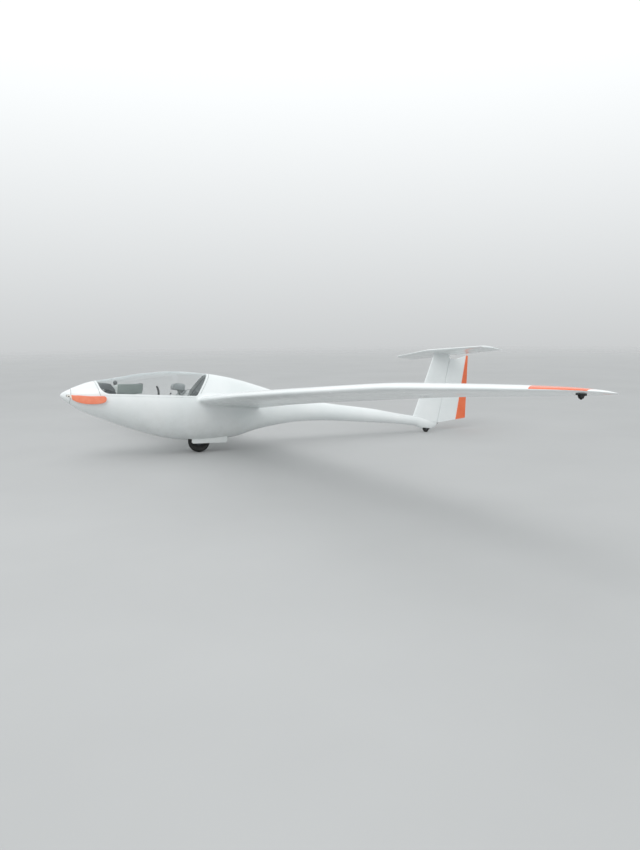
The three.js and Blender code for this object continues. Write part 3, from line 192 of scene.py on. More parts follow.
def row_at(table, key):
    """Reads a row at any value of the first column, on a smooth curve."""
    i = 0
    while i < len(table) - 2 and key > table[i + 1][0]:
        i += 1
    span = table[i + 1][0] - table[i][0]
    t = min(1, max(0, (key - table[i][0]) / span))

    def rise(k, c):
        return (table[k + 1][c] - table[k][c]) / (table[k + 1][0] - table[k][0])

    def slope(k, c):
        if k in (0, len(table) - 1):
            return rise(max(0, k - 1), c)
        before, after = rise(k - 1, c), rise(k, c)
        return 0 if before * after <= 0 else 2 * before * after / (before + after)

    row = [key]
    for c in range(1, len(table[0])):
        a, b = slope(i, c) * span, slope(i + 1, c) * span
        row.append(table[i][c] * (2 * t**3 - 3 * t**2 + 1) + table[i + 1][c] * (3 * t**2 - 2 * t**3)
                   + a * (t**3 - 2 * t**2 + t) + b * (t**3 - t**2))
    return row


# Meshes

def thing(verts, faces, weld=0.0):
    """A new object of these faces, all pointing out."""
    mesh = bpy.data.meshes.new("blank")
    mesh.from_pydata([tuple(v) for v in verts], [], faces)
    work = bmesh.new()
    work.from_mesh(mesh)
    if weld:
        bmesh.ops.remove_doubles(work, verts=work.verts, dist=weld)
    bmesh.ops.recalc_face_normals(work, faces=work.faces)
    work.to_mesh(mesh)
    work.free()
    obj = bpy.data.objects.new("blank", mesh)
    bpy.context.scene.collection.objects.link(obj)
    return obj


def loft(rings, around=False):
    """Skins closed rings of points, capped at both ends, or around back to the first ring."""
    n, count = len(rings[0]), len(rings)
    faces = []
    for r in range(count if around else count - 1):
        s = (r + 1) % count
        for i in range(n):
            j = (i + 1) % n
            faces.append((r * n + i, r * n + j, s * n + j, s * n + i))
    if not around:
        faces += [tuple(range(n)), tuple((count - 1) * n + i for i in reversed(range(n)))]
    return thing([p for ring in rings for p in ring], faces, 1e-4 if around else 0)


def extruded(outline, y0=-FAR, y1=FAR):
    return loft([[at(s, y, z) for s, z in outline] for y in (y0, y1)])


def slab(stations, ys, zs):
    s0, s1 = stations
    z0, z1 = zs
    return extruded([(s0, z0), (s1, z0), (s1, z1), (s0, z1)], *ys)


def bar_ring(point, turn, radius, sides):
    return [point + turn @ Vector((radius * math.cos(a), radius * math.sin(a), 0))
            for a in turns(sides)]


def round_bar(start, end, radius0, radius1=None, sides=32):
    turn = (end - start).to_track_quat("Z", "X")
    return loft([bar_ring(start, turn, radius0, sides),
                 bar_ring(end, turn, radius0 if radius1 is None else radius1, sides)])


def run_of(path, i):
    """The way that a path runs at one of its points."""
    return (path[min(i + 1, len(path) - 1)] - path[max(i - 1, 0)]).normalized()


def tube(path, radius, sides=12):
    """A round bar along a path; radius may be a list, one for each point."""
    radii = radius if isinstance(radius, list) else [radius] * len(path)
    turn = run_of(path, 0).to_track_quat("Z", "X")
    rings = []
    for i, point in enumerate(path):
        turn = (turn @ Vector((0, 0, 1))).rotation_difference(run_of(path, i)) @ turn
        rings.append(bar_ring(point, turn, radii[i], sides))
    return loft(rings)


def strap(path, width, thick, across):
    """Flat webbing with rounded edges along a path."""
    section = [(-1, -0.3), (-0.95, -1), (0.95, -1), (1, -0.3), (1, 0.3), (0.95, 1), (-0.95, 1),
               (-1, 0.3)]
    rings = []
    for i, point in enumerate(path):
        ahead = run_of(path, i)
        side = (across - ahead * across.dot(ahead)).normalized()
        over = ahead.cross(side)
        rings.append([point + side * (width / 2 * u) + over * (thick / 2 * v) for u, v in section])
    return loft(rings)


def webbing(points, width, across):
    return strap([Vector(p) for p in smooth(points, 8)], width, 2.2, across)


def lathe(profile, centre=CENTRE, sides=96, axis="Y"):
    """Turns a closed profile of (radius, distance along the axis)."""
    rings = []
    for a in turns(sides):
        ring = []
        for radius, along in profile:
            u, v = radius * math.cos(a), radius * math.sin(a)
            way = {"X": (along, u, v), "Y": (u, along, v), "Z": (u, -v, along)}[axis]
            ring.append(centre + Vector(way))
        rings.append(ring)
    return loft(rings, True)


def inset(outline, distances):
    n = len(outline)
    area = sum(x * outline[(i + 1) % n][1] - outline[(i + 1) % n][0] * y
               for i, (x, y) in enumerate(outline))
    lines = []
    for i, (x, y) in enumerate(outline):
        u, v = outline[(i + 1) % n]
        length = math.hypot(u - x, v - y)
        dx, dy = (u - x) / length, (v - y) / length
        shift = (1 if area > 0 else -1) * distances[i]
        lines.append((x - dy * shift, y + dx * shift, dx, dy))
    result = []
    for i, (x1, y1, dx1, dy1) in enumerate(lines):
        x0, y0, dx0, dy0 = lines[i - 1]
        t = ((x1 - x0) * dy1 - (y1 - y0) * dx1) / (dx0 * dy1 - dy0 * dx1)
        result.append([x0 + dx0 * t, y0 + dy0 * t])
    return result


def rounded(outline, radii, steps=10):
    result = []
    for i, corner in enumerate(outline):
        if not radii[i]:
            result.append(list(corner))
            continue
        here = Vector(corner)
        before = (Vector(outline[i - 1]) - here).normalized()
        after = (Vector(outline[(i + 1) % len(outline)]) - here).normalized()
        half = before.angle(after) / 2
        centre = here + (before + after).normalized() * (radii[i] / math.sin(half))
        reach = radii[i] / math.tan(half)
        start, end = here + before * reach - centre, here + after * reach - centre
        a0 = math.atan2(start.y, start.x)
        turn = math.atan2(start.x * end.y - start.y * end.x, start.dot(end))
        for a in spread(a0, a0 + turn, steps + 1):
            result.append([centre.x + radii[i] * math.cos(a), centre.y + radii[i] * math.sin(a)])
    return result


def drop(obj):
    mesh = obj.data
    bpy.data.objects.remove(obj)
    bpy.data.meshes.remove(mesh)


def bake(obj):
    """Applies the modifiers of an object to its mesh."""
    bpy.context.view_layer.update()
    graph = bpy.context.evaluated_depsgraph_get()
    mesh = bpy.data.meshes.new_from_object(obj.evaluated_get(graph))
    old = obj.data
    obj.modifiers.clear()
    obj.data = mesh
    bpy.data.meshes.remove(old)
    return obj


def modified(obj, kind, **settings):
    modifier = obj.modifiers.new(kind.lower(), kind)
    for key, value in settings.items():
        setattr(modifier, key, value)
    return bake(obj)


def combine(target, cutter, operation, keep=False):
    modified(target, "BOOLEAN", operation=operation, solver="MANIFOLD", object=cutter)
    if not keep:
        drop(cutter)
    return target


def cut(target, *cutters):
    for cutter in cutters:
        combine(target, cutter, "DIFFERENCE")
    return target


def joined(target, *others):
    for other in others:
        combine(target, other, "UNION")
    return target


def common(target, other):
    return combine(target, other, "INTERSECT")


def merged(*objects):
    """One object of several loose ones."""
    work = bmesh.new()
    for obj in objects:
        work.from_mesh(obj.data)
    work.to_mesh(objects[0].data)
    work.free()
    for obj in objects[1:]:
        drop(obj)
    return objects[0]


def bevel(obj, width, segments=2, angle=35):
    return modified(obj, "BEVEL", width=width, segments=segments, limit_method="ANGLE",
                    angle_limit=math.radians(angle))


def piece(obj, name, material, *stands_for, body="airframe", slot=None, sharp=32, placed=False):
    """Places a finished mesh in the row frame and lets it ride on its body."""
    obj.name = name
    obj.data.name = name
    if not placed:
        obj.data.transform(PLACE)
    obj.data.shade_smooth()
    obj.data.set_sharp_from_angle(angle=math.radians(sharp))
    obj.data.materials.clear()
    obj.data.materials.append(material)
    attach(obj, body)
    if stands_for:
        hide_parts(*stands_for)
    return obj


# Materials

def rgb(hexa):
    """A display colour as linear values."""
    parts = [int(hexa[i:i + 2], 16) / 255 for i in (0, 2, 4)]
    return tuple((c / 12.92 if c < 0.04045 else ((c + 0.055) / 1.055) ** 2.4) for c in parts) + (1,)


class Look:
    """A procedural material on a Principled shader."""

    def __init__(self, name, **settings):
        self.material = bpy.data.materials.new(name)
        self.material.use_nodes = True
        self.tree = self.material.node_tree
        self.shader = self.tree.nodes["Principled BSDF"]
        for key, value in settings.items():
            self.shader.inputs[key.replace("_", " ")].default_value = value
        self.object = self.node("ShaderNodeTexCoord").outputs["Object"]

    def node(self, kind, links=None, **settings):
        node = self.tree.nodes.new(kind)
        for key, value in settings.items():
            setattr(node, key, value)
        for key, value in (links or {}).items():
            self.feed(node.inputs[key], value)
        return node

    def feed(self, socket, value):
        if isinstance(value, bpy.types.NodeSocket):
            self.tree.links.new(value, socket)
        else:
            socket.default_value = value

    def math(self, operation, *values, clamp=False):
        links = dict(enumerate(values))
        return self.node("ShaderNodeMath", links, operation=operation, use_clamp=clamp).outputs[0]

    def times(self, a, b, clamp=False):
        return self.math("MULTIPLY", a, b, clamp=clamp)

    def airframe(self):
        """Station, left and up, in metres of the airframe."""
        back = TURN.transposed()
        node = self.node("ShaderNodeMapping", {"Vector": self.object,
                                               "Rotation": back.to_euler("XYZ"),
                                               "Location": -(back @ NOSE)})
        x, y, z = self.node("ShaderNodeSeparateXYZ", {0: node.outputs[0]}).outputs
        return self.times(x, -1), y, z

    def noise(self, scale, detail=3, rough=0.5, vector=None):
        return self.node("ShaderNodeTexNoise", {"Vector": vector or self.object, "Scale": scale,
                                                "Detail": detail, "Roughness": rough}).outputs[0]

    def span(self, value, low, high, to_low=0.0, to_high=1.0):
        return self.node("ShaderNodeMapRange", {"Value": value, "From Min": low, "From Max": high,
                                                "To Min": to_low, "To Max": to_high}).outputs[0]

    def patches(self, scale, detail=3, rough=0.5, low=0.3, high=0.7, to_low=0.0, to_high=1.0):
        """Soft noise patches, with more contrast where low and high lie close."""
        return self.span(self.noise(scale, detail, rough), low, high, to_low, to_high)

    def mix(self, factor, a, b):
        """Mixes two colours, each one a socket or a display colour."""
        colours = [rgb(c) if isinstance(c, str) else c for c in (a, b)]
        return self.node("ShaderNodeMix", {0: factor, 6: colours[0], 7: colours[1]},
                         data_type="RGBA").outputs[2]

    def finished(self, colour, rough, height, strength, distance):
        """Links the colour, the roughness and a bump, and gives the material."""
        bump = self.node("ShaderNodeBump", {"Height": height, "Strength": strength,
                                            "Distance": distance}).outputs[0]
        for key, socket in (("Base Color", colour), ("Roughness", rough), ("Normal", bump)):
            if socket is not None:
                self.tree.links.new(socket, self.shader.inputs[key])
        return self.material


def gelcoat():
    """White gelcoat, with the orange areas of the wing tips and the rudder."""
    look = Look("gelcoat_white", Roughness=0.2, Coat_Weight=0.3, Coat_Roughness=0.05, IOR=1.48)
    station, y, z = look.airframe()
    white = look.mix(look.patches(1.6, 4, 0.55, 0.35), "e4e9e9", "eef1f1")
    # A film of dust that thickens towards the belly, and fine specks
    low = look.span(z, 0.05, -0.42)
    film = look.times(look.patches(7, 5, 0.65, 0.35, 0.75), low, clamp=True)
    white = look.mix(look.times(film, 0.3), white, "bfc0b8")
    specks = look.times(look.patches(190, 2, 0.4, 0.7, 0.74), low, clamp=True)
    white = look.mix(look.times(specks, 0.35), white, "8d8a80")
    # Orange on the upper side of each wing tip, cut off along a slant across the chord
    out = look.math("ABSOLUTE", y)
    inner = look.math("SUBTRACT", 6.172 + 0.62 * 1.816, look.times(station, 0.62))
    past_inner = look.span(look.math("SUBTRACT", out, inner), 0, 0.0015)
    before_outer = look.span(out, 6.5465, 6.545)
    chord_level = look.span(out, 6.05, 6.55, 0.099, 0.081)
    above = look.span(look.math("SUBTRACT", z, chord_level), -0.0012, 0.0012)
    tip = look.times(look.times(past_inner, before_outer), above)
    # Orange rear of the rudder, with a thin paler border along its front edge
    edge = look.math("SUBTRACT", station, look.math("MULTIPLY_ADD", z, 0.1247, 6.0613))
    behind = look.span(edge, 0, 0.0012)
    border = look.times(look.span(edge, -0.011, -0.0098), look.span(edge, 0, -0.0012))
    warm = look.mix(look.patches(5), "e9683a", "f07a4a")
    paint = look.math("MAXIMUM", tip, behind)
    return look.finished(look.mix(paint, look.mix(border, white, "efc9bb"), warm),
                         look.patches(9, 4, 0.6, 0.2, 0.8, 0.15, 0.3), look.noise(160, 2), 0.035,
                         0.0006)


def blade_look():
    """Orange blades whose roots are left pale."""
    look = Look("blade_orange", Coat_Weight=0.3, Coat_Roughness=0.08)
    station, _, z = look.airframe()
    edge = look.math("ADD", station, look.times(z, 0.25))
    warm = look.mix(look.patches(14, 4, 0.6), "ea7a58", "f1906f")
    pale = look.mix(look.patches(30, 4), "dcd7cf", "ece8e0")
    return look.finished(look.mix(look.span(edge, 0.12, 0.1215), pale, warm),
                         look.patches(22, 4, 0.6, 0.25, 0.75, 0.24, 0.38), look.noise(240, 2), 0.05,
                         0.0005)


def plain_look(name, low, high, rough, scale=20, grain=0.1, grain_scale=400, coat=0.0):
    look = Look(name, Coat_Weight=coat, Coat_Roughness=0.1)
    return look.finished(look.mix(look.patches(scale, 5, 0.6), low, high),
                         look.patches(scale * 2.3, 4, 0.5, 0.25, 0.75, rough - 0.07, rough + 0.08),
                         look.noise(grain_scale), grain, 0.0004)


def lining_look():
    """Pale grey cockpit paint with fine dark and light specks."""
    look = Look("cockpit_lining")
    base = look.mix(look.patches(6, 4), "b7bcbb", "c4c8c7")
    cells = look.node("ShaderNodeTexVoronoi", {"Vector": look.object, "Scale": 620}).outputs[0]
    base = look.mix(look.times(look.span(cells, 0.16, 0.12), 0.45), base, "707675")
    light = look.patches(900, 1, 0.5, 0.66, 0.7)
    return look.finished(look.mix(look.times(light, 0.6), base, "e2e4e3"),
                         look.patches(40, to_low=0.5, to_high=0.66), look.noise(700), 0.25, 0.0004)


def metal_look(name, low, high, rough, axis_scale):
    """Metal with fine marks drawn out along one way."""
    look = Look(name, Metallic=1.0)
    drawn = look.node("ShaderNodeMapping", {"Vector": look.object, "Scale": axis_scale}).outputs[0]
    marks = look.noise(260, 4, 0.7, drawn)
    return look.finished(look.mix(look.span(marks, 0.35, 0.65), low, high),
                         look.patches(60, 4, 0.6, to_low=rough - 0.08, to_high=rough + 0.1),
                         marks, 0.08, 0.0003)


def cloth_look(name, low, high, thread=0.0011):
    """Plain weave: warp and weft bumps, a little fuzz and faded patches."""
    look = Look(name, Sheen_Weight=0.35, Sheen_Roughness=0.5)
    station, y, z = look.airframe()
    warp, weft = (look.math("SINE", look.math("MULTIPLY_ADD", way, 2 * math.pi / thread, shift))
                  for way, shift in ((look.math("SUBTRACT", station, z), 0), (y, math.pi / 2)))
    weave = look.times(warp, weft)
    base = look.mix(look.patches(16, 5, 0.6), low, high)
    return look.finished(look.mix(look.span(weave, -1, 1, 0, 0.35), base, low),
                         look.patches(90, to_low=0.82, to_high=0.95),
                         look.math("ADD", weave, look.noise(1400, 2)), 0.5, 0.0004)


def webbing_look():
    """Harness webbing, ribbed across its length."""
    low, high = "7b8285", "959c9e"
    look = Look("harness_webbing", Sheen_Weight=0.2)
    station, _, z = look.airframe()
    ribs = look.math("SINE", look.times(look.math("SUBTRACT", station, z), 2600))
    base = look.mix(look.patches(40, 4), low, high)
    return look.finished(look.mix(look.span(ribs, -1, 1, 0.25, 0), base, low),
                         look.patches(120, to_low=0.6, to_high=0.78), ribs, 0.35, 0.0003)


def glass_look(name):
    """Clear acrylic: a mirror that is nearly see-through except at grazing angles."""
    look = Look(name, Metallic=1.0, Roughness=0.04)
    facing = look.node("ShaderNodeLayerWeight", {"Blend": 0.5}).outputs["Facing"]
    glance = look.math("MULTIPLY_ADD", look.math("POWER", facing, 3.0), 0.9, 0.045)
    share = look.math("ADD", glance, look.patches(26, 5, 0.7, 0.5, 0.85, 0.0, 0.03), clamp=True)
    look.feed(look.shader.inputs["Alpha"], share)
    return look.finished(look.mix(look.patches(2.5), "dfe8ea", "eaf1f2"), None,
                         look.noise(1.3, 2), 0.04, 0.01)


def rubber_look():
    look = Look("tyre_rubber")
    return look.finished(look.mix(look.patches(45, 5, 0.7, 0.45, 0.75), "1b1c1c", "3a3835"),
                         look.patches(30, 4, to_low=0.66, to_high=0.86), look.noise(600), 0.25,
                         0.0006)


def panel_look():
    """The panel's body: painted shade of the nose's shadowed inside ahead of a slant, a pale patch of
    painted light under the compass, grey-green behind.
    """
    look = Look("panel_body_painted_shade_and_light")
    station, _, z = look.airframe()
    # Painted shade ahead of this slanted line, and a pale patch of painted light behind it as far back
    # as the compass
    shade_edge = look.math("ADD", station, look.math("MULTIPLY_ADD", z, 0.679, -0.1344))
    tone = look.patches(18, 4)
    front = look.mix(look.span(shade_edge, 0.574, 0.571), look.mix(tone, "b9bfbd", "c6cbc9"),
                     look.mix(tone, "3a4041", "464c4d"))
    return look.finished(look.mix(look.span(station, 0.658, 0.661), front,
                                  look.mix(tone, "6c7774", "79847f")),
                         look.patches(60, to_low=0.62, to_high=0.8), look.noise(520), 0.3, 0.0004)


WHITE = gelcoat()
BLADE_ORANGE = blade_look()
GLASS = glass_look("canopy_acrylic")
DIAL_GLASS = glass_look("dial_glass")
RUBBER = rubber_look()
LINING = lining_look()
PANEL_BODY = panel_look()
ALLOY = metal_look("turned_alloy", "a5a9ac", "c5c9cc", 0.34, (1, 6, 1))
STEEL = metal_look("plated_steel", "80858a", "a5aaae", 0.3, (3, 1, 1))
RIM = metal_look("rim_paint", "4a4d50", "5e6265", 0.42, (1, 6, 1))
DARK_GREY = plain_look("glareshield_grey", "35393b", "43484a", 0.72, 22, 0.25, 700)
BULKHEAD_GREY = plain_look("bulkhead_grey", "4d5354", "5c6263", 0.66, 14, 0.25, 700)
GREY = plain_look("cockpit_grey", "868c8c", "979d9d", 0.6, 22, 0.2, 700)
BLACK = plain_look("black_plastic", "19191b", "2a2a2c", 0.5, 25, 0.25, 800)
DIAL_BLACK = plain_look("dial_black", "121314", "1c1d1e", 0.7, 40, 0.1, 1200)
DIAL_WHITE = plain_look("dial_white", "dcdedb", "ecedea", 0.6, 60, 0.05, 1200)
DOOR_GREY = plain_look("door_grey", "e0e4e3", "e9eceb", 0.32, 6, 0.03, 200, 0.2)
BLUE = plain_look("lever_blue", "1f4f9a", "2a62b4", 0.42, 50, 0.08, 600, 0.1)
YELLOW = plain_look("lever_yellow", "d8a818", "e6b92a", 0.42, 50, 0.08, 600, 0.1)
GREEN = plain_look("lever_green", "2c7d3f", "3a9150", 0.42, 50, 0.08, 600, 0.1)
CASE = plain_look("battery_case", "3c4043", "4a4e51", 0.5, 30, 0.2, 500)
CLOTH = cloth_look("headrest_cloth", "7f8688", "989e9f")
SEAT_CLOTH = cloth_look("seat_cloth", "4e5457", "62686b", 0.0016)
PIPING = plain_look("seam_piping", "2b2e30", "3a3d3f", 0.7, 80, 0.4, 1500)
WEBBING = webbing_look()


# Fuselage

def body_ring(table, station, grow, sides):
    _, top, bottom, half, wide = row_at(table, station)
    ring = []
    for a in turns(sides):
        rise = (top - wide if math.sin(a) > 0 else wide - bottom) + grow
        ring.append(at(station, (half + grow) * math.cos(a), wide + rise * math.sin(a)))
    return ring


def body_loft(table, stations, grow, sides=128):
    return loft([body_ring(table, s, grow, sides) for s in stations])


def hull(grow):
    """The fuselage's front half as a solid, grown by a distance."""
    return body_loft(FUSELAGE, FRONT_STATIONS, grow)


def cabin(grow):
    return body_loft(FUSELAGE, spread(134, 2330, 60), grow, 96)


def hull_half(station, level, grow=0.0):
    """Half the fuselage's width at a level."""
    _, top, bottom, half, wide = row_at(FUSELAGE, station)
    rise = (top - wide if level > wide else wide - bottom) + grow
    return (half + grow) * math.sqrt(max(0.0, 1 - ((level - wide) / rise) ** 2))


def line_inside(obj):
    """Gives the faces inside the skin the cockpit's paint."""
    obj.data.materials.append(LINING)
    for face in obj.data.polygons:
        x, y, z = BACK @ face.center
        if -2340 < x < -130 and -140 < z and abs(y) < hull_half(-x, z, -6):
            face.material_index = 1


def build_fuselage():
    front, rear = WELL["stations"]
    half, roof = WELL["half"], WELL["roof"]
    fuselage = body_loft(FUSELAGE, BODY_STATIONS, 0)
    well_shell = common(hull(0), slab((front - SKIN, rear + SKIN), (-half - SKIN, half + SKIN),
                                      (-FAR, roof + SKIN)))
    cut(fuselage, cabin(-SKIN), extruded(inset(CANOPY, [-g for g in CANOPY_GAPS])))
    joined(fuselage, well_shell)
    cut(fuselage, slab((front, rear), (-half, half), (-FAR, roof)),
        round_bar(at(100, 0, 0), at(150, 0, 0), 20))
    line_inside(piece(fuselage, "fuselage_shell", WHITE, "fuselage", sharp=28))
    tail = body_loft(TAIL_FAIRING, spread(5320.3, 5697, 40), 0)
    cut(tail, slab((5456, 5596), (-26, 26), (-FAR, 78)))
    lug = bevel(slab((5677, 5755), (-13, 13), (97, 113)), 2)
    piece(merged(tail, lug), "tail_cone", WHITE, "tail_fairing", sharp=28)
    bolt = lathe([(0, 0), (7, 0), (7, 4), (5.5, 5), (0, 5)], at(5735, 13, 105), 24)
    piece(bolt, "rudder_foot_bolt", BLACK, slot="steel")


# Canopy

def shell(out, depth):
    return cut(hull(-out), hull(-out - depth))


def sill_level(station):
    return lerp(CANOPY[1][1], CANOPY[2][1], (station - CANOPY[1][0]) / (CANOPY[2][0] - CANOPY[1][0]))


def hinge_point(station):
    return at(station, -HINGE_OUT, sill_level(station) - 6)


def hinge_arm(front, rear, low, high):
    outline = [(s, sill_level(s) + up) for s, up in
               ((front, low), (rear, low), (rear, high), (front, high))]
    return extruded(outline, -HINGE_OUT, -250)


def build_canopy():
    window = rounded(inset(CANOPY, CANOPY_FRAME), WINDOW_CORNERS, 16)
    rim = cut(common(shell(0, 16), extruded(CANOPY)), extruded(window))
    for name, station in HINGE_STATIONS.items():
        moving = joined(round_bar(hinge_point(station - 12), hinge_point(station + 12), 8),
                        hinge_arm(station - 12, station + 12, 1, 14))
        cut(moving, round_bar(hinge_point(station - 30), hinge_point(station + 30), 3.9), hull(-8))
        piece(bevel(moving, 0.7), f"canopy_knuckle_{name}", WHITE, body="canopy")
        fixed = round_bar(hinge_point(station - 29), hinge_point(station + 29), 3.4)
        for front, rear in ((station - 30, station - 13), (station + 13, station + 30)):
            joined(fixed, round_bar(hinge_point(front), hinge_point(rear), 7),
                   hinge_arm(front, rear, -13, 0))
        piece(cut(fixed, hull(0.3)), f"canopy_lugs_{name}", STEEL, f"canopy_hinge_{name}")
    line_inside(piece(rim, "canopy_rim", WHITE, "canopy_frame", body="canopy", sharp=28))
    pane = common(shell(1.2, 3.4), extruded(inset(window, [0.3] * len(window))))
    piece(pane, "canopy_pane", GLASS, "canopy_glass", body="canopy", sharp=28)
    # The latch's knob stands on the left sill, inside the pane
    sill = sill_level(LATCH)
    y = hull_half(LATCH, sill + 30, -SKIN) - 6
    base = slab((LATCH - 34, LATCH + 20), (y - 4, y + 4), (sill + 4, sill + 18))
    stem = tube([at(LATCH - 24, y - 2, sill + 12), at(LATCH - 18, y - 10, sill + 30),
                 at(LATCH - 12, y - 14, sill + 44)], 3.5)
    knob = lathe([(0, -9), (6, -9), (10, -5), (11, 0), (10, 5), (6, 9), (0, 9)],
                 at(LATCH - 10, y - 15, sill + 50), 32)
    piece(merged(bevel(base, 1.5), stem, knob), "canopy_latch", BLACK, body="canopy")


# Wings

def half_depth(x, thickness):
    return 5 * thickness * (0.2969 * math.sqrt(x) - 0.126 * x - 0.3516 * x**2
                            + 0.2843 * x**3 - 0.1015 * x**4)


def camber_line(x):
    return CAMBER * 4 * x * (1 - x)


def wing_point(side, y, x, above, grow=0.0):
    """A point of the wing's surface, at a part x of the chord."""
    _, lead, level, chord, angle, thickness = row_at(WING, y)
    tilt = math.radians(angle)
    half = 0 if x == 0 else half_depth(x, thickness) + TRAIL_HALF
    height = (camber_line(x) + (half if above else -half)) * chord + (grow if above else -grow)
    along = x * chord
    return at(lead + along * math.cos(tilt) + height * math.sin(tilt), side * y,
              level - along * math.sin(tilt) + height * math.cos(tilt))


def section_places(count):
    """Parts of the chord from the trailing edge over the upper side and back underneath."""
    xs = [0.5 - 0.5 * math.cos(math.pi * i / count) for i in range(count + 1)]
    return [(x, True) for x in reversed(xs)] + [(x, False) for x in xs[1:]]


def wing_ring(side, y):
    return [wing_point(side, y, x, above) for x, above in section_places(36)]


def flap_hinge(y):
    """A flaperon's hinge station and level, its nose's radius and its trailing edge."""
    _, lead, level, chord, angle, thickness = row_at(WING, y)
    tilt = math.radians(angle)
    x = 1 - FLAP_CHORD
    height = camber_line(x) * chord
    station = lead + x * chord * math.cos(tilt) + height * math.sin(tilt)
    hinge_level = level - x * chord * math.sin(tilt) + height * math.cos(tilt)
    trail = (lead + chord * math.cos(tilt), level - chord * math.sin(tilt))
    return station, hinge_level, half_depth(x, thickness) * chord * FLAP_NOSE, trail


def flap_ring(side, y):
    station, level, radius, trail = flap_hinge(y)
    return ([at(station + u, side * y, level + v) for u, v in front_arc(radius, 16)]
            + [at(trail[0], side * y, trail[1] + up) for up in (-0.8, 0.8)])


def flap_space(side, low, high):
    rings = []
    for y in spread(low - 6, high + 6, 16):
        station, level, radius, _ = flap_hinge(y)
        front, rear = station - radius - 6, station + FAR
        rings.append([at(s, side * y, level + up) for s, up in
                      ((front, -FAR), (front, FAR), (rear, FAR), (rear, -FAR))])
    return loft(rings)


def seal_ring(side, y):
    """A thin strip over the gap in front of a flaperon's nose."""
    station, level, radius, _ = flap_hinge(y)
    _, lead, _, chord, _, _ = row_at(WING, y)
    front = wing_point(side, y, (station - radius - 9 - lead) / chord, True, 0.15)
    back = at(station - radius * 0.7, side * y, level + radius + 0.6)
    over = Vector((0, 0, 0.5))
    return [front, back, back + over, front + over]


def onto_hull(point):
    _, top, bottom, half, wide = row_at(FUSELAGE, -point.x)
    rise = top - wide if point.z > wide else wide - bottom
    size = math.hypot(point.y / half, (point.z - wide) / rise)
    return Vector((point.x, point.y / size, wide + (point.z - wide) / size))


def meeting(side, x, above):
    """How far out a line along the wing's surface leaves the fuselage."""
    low, high = 152.0, 330.0
    for _ in range(30):
        middle = (low + high) / 2
        point = wing_point(side, middle, x, above)
        if abs(point.y) < hull_half(-point.x, point.z):
            low = middle
        else:
            high = middle
    return low


def root_fillet(side, steps=8):
    """A concave fillet where a wing meets the fuselage, round the whole section."""
    places = section_places(30)
    rings = []
    for i, (x, above) in enumerate(places):
        low = meeting(side, x, above)
        meet = wing_point(side, low, x, above)
        before = wing_point(side, low, *places[max(i - 1, 0)])
        after = wing_point(side, low, *places[min(i + 1, len(places) - 1)])
        run = (after - before).normalized()
        away = Vector((run.z, 0, -run.x))
        if x < 0.05:
            inside = away.dot(meet - at(row_at(WING, low)[1] + 300, side * low, meet.z)) < 0
        else:
            inside = (away.z > 0) != above
        if inside:
            away.negate()
        size = FILLET * min(1.0, 0.35 + 2.2 * (1 - x))
        on_wing = wing_point(side, low + size, x, above)
        on_hull = onto_hull(meet + away * size)
        inward = Vector((0, side * 6, 0))
        start, bend, end = on_wing + away * 0.25, meet + away * 0.3, on_hull + inward * 0.05
        ring = [start * (1 - t) ** 2 + bend * 2 * t * (1 - t) + end * t**2
                for t in spread(0, 1, steps + 1)]
        rings.append(ring + [on_hull - inward, meet - away * 3 - inward,
                             on_wing - away * min(2.0, 20 * (1 - x) + 0.3)])
    return loft(rings)


def build_wing(label, side):
    ys = (spread(150, 5900, 40) + spread(6000, 6400, 9)
          + [6440, 6480, 6515, 6545, 6570, 6590, 6607, 6621, 6632, 6641, 6647, 6650])
    wing = cut(loft([wing_ring(side, y) for y in ys]), hull(-5))
    for _, low, high in FLAPERONS:
        cut(wing, flap_space(side, low, high))
    _, lead, _, chord, _, _ = row_at(WING, sum(BRAKE) / 2)
    brake = lead + BRAKE_CHORD * chord
    cut(wing, slab((brake - BRAKE_SLOT / 2, brake + BRAKE_SLOT / 2),
                   sorted((side * BRAKE[0], side * BRAKE[1])), (120, FAR)))
    piece(wing, f"wing_skin_{label}", WHITE, f"wing_{label}", sharp=28)
    piece(root_fillet(side), f"wing_root_fillet_{label}", WHITE, sharp=60)
    for name, low, high in FLAPERONS:
        node = f"{name}_flaperon_{label}"
        flap = loft([flap_ring(side, y) for y in spread(low, high, 26)])
        piece(flap, f"{name}_flaperon_skin_{label}", WHITE, node, body=f"{node}_body", sharp=28)
        seal = loft([seal_ring(side, y) for y in spread(low, high, 26)])
        piece(seal, f"{name}_seal_{label}", WHITE)
    rings = []
    for y in spread(BRAKE[0] + 1, BRAKE[1] - 1, 20):
        _, lead, _, chord, _, _ = row_at(WING, y)
        ring = [wing_point(side, y, (brake + edge - lead) / chord, True, 0.4)
                for edge in (-10.8, -4, 4, 10.8)]
        rings.append(ring + [p - Vector((0, 0, 3)) for p in reversed(ring)])
    piece(loft(rings), f"airbrake_cap_{label}", WHITE, body=f"airbrake_{label}_body")


# Tail

def fin_ring(level):
    low, high = FIN_LEVELS
    t = (level - low) / (high - low)
    hinge, nose, _ = rudder_hinge(level)
    ring = []
    for side, u in out_and_back(30):
        u **= 1.6
        shape = 1.9 * (math.sqrt(u) - 0.47 * u)
        ring.append(at(lerp(lerp(5244, 5590, t), hinge - nose - 6, u),
                       side * lerp(96, 66, t) / 2 * shape, level))
    return ring


def rudder_hinge(level):
    """The rudder's hinge station, its nose's radius and its trailing edge."""
    low, high = RUDDER_LEVELS
    t = (level - low) / (high - low)
    return lerp(5742, 5900, t), lerp(38, 27, t), lerp(6289, 6256, t)


def rudder_ring(level):
    station, nose, trail = rudder_hinge(level)
    return ([at(station + u, v, level) for u, v in front_arc(nose, 20)]
            + [at(trail, -1.5, level), at(trail, 1.5, level)])


def tailplane_lead(y):
    for (y0, s0), (y1, s1) in zip(TAILPLANE_ROWS, TAILPLANE_ROWS[1:]):
        if y <= y1:
            return lerp(s0, s1, (y - y0) / (y1 - y0))
    return TAILPLANE_ROWS[-1][1]


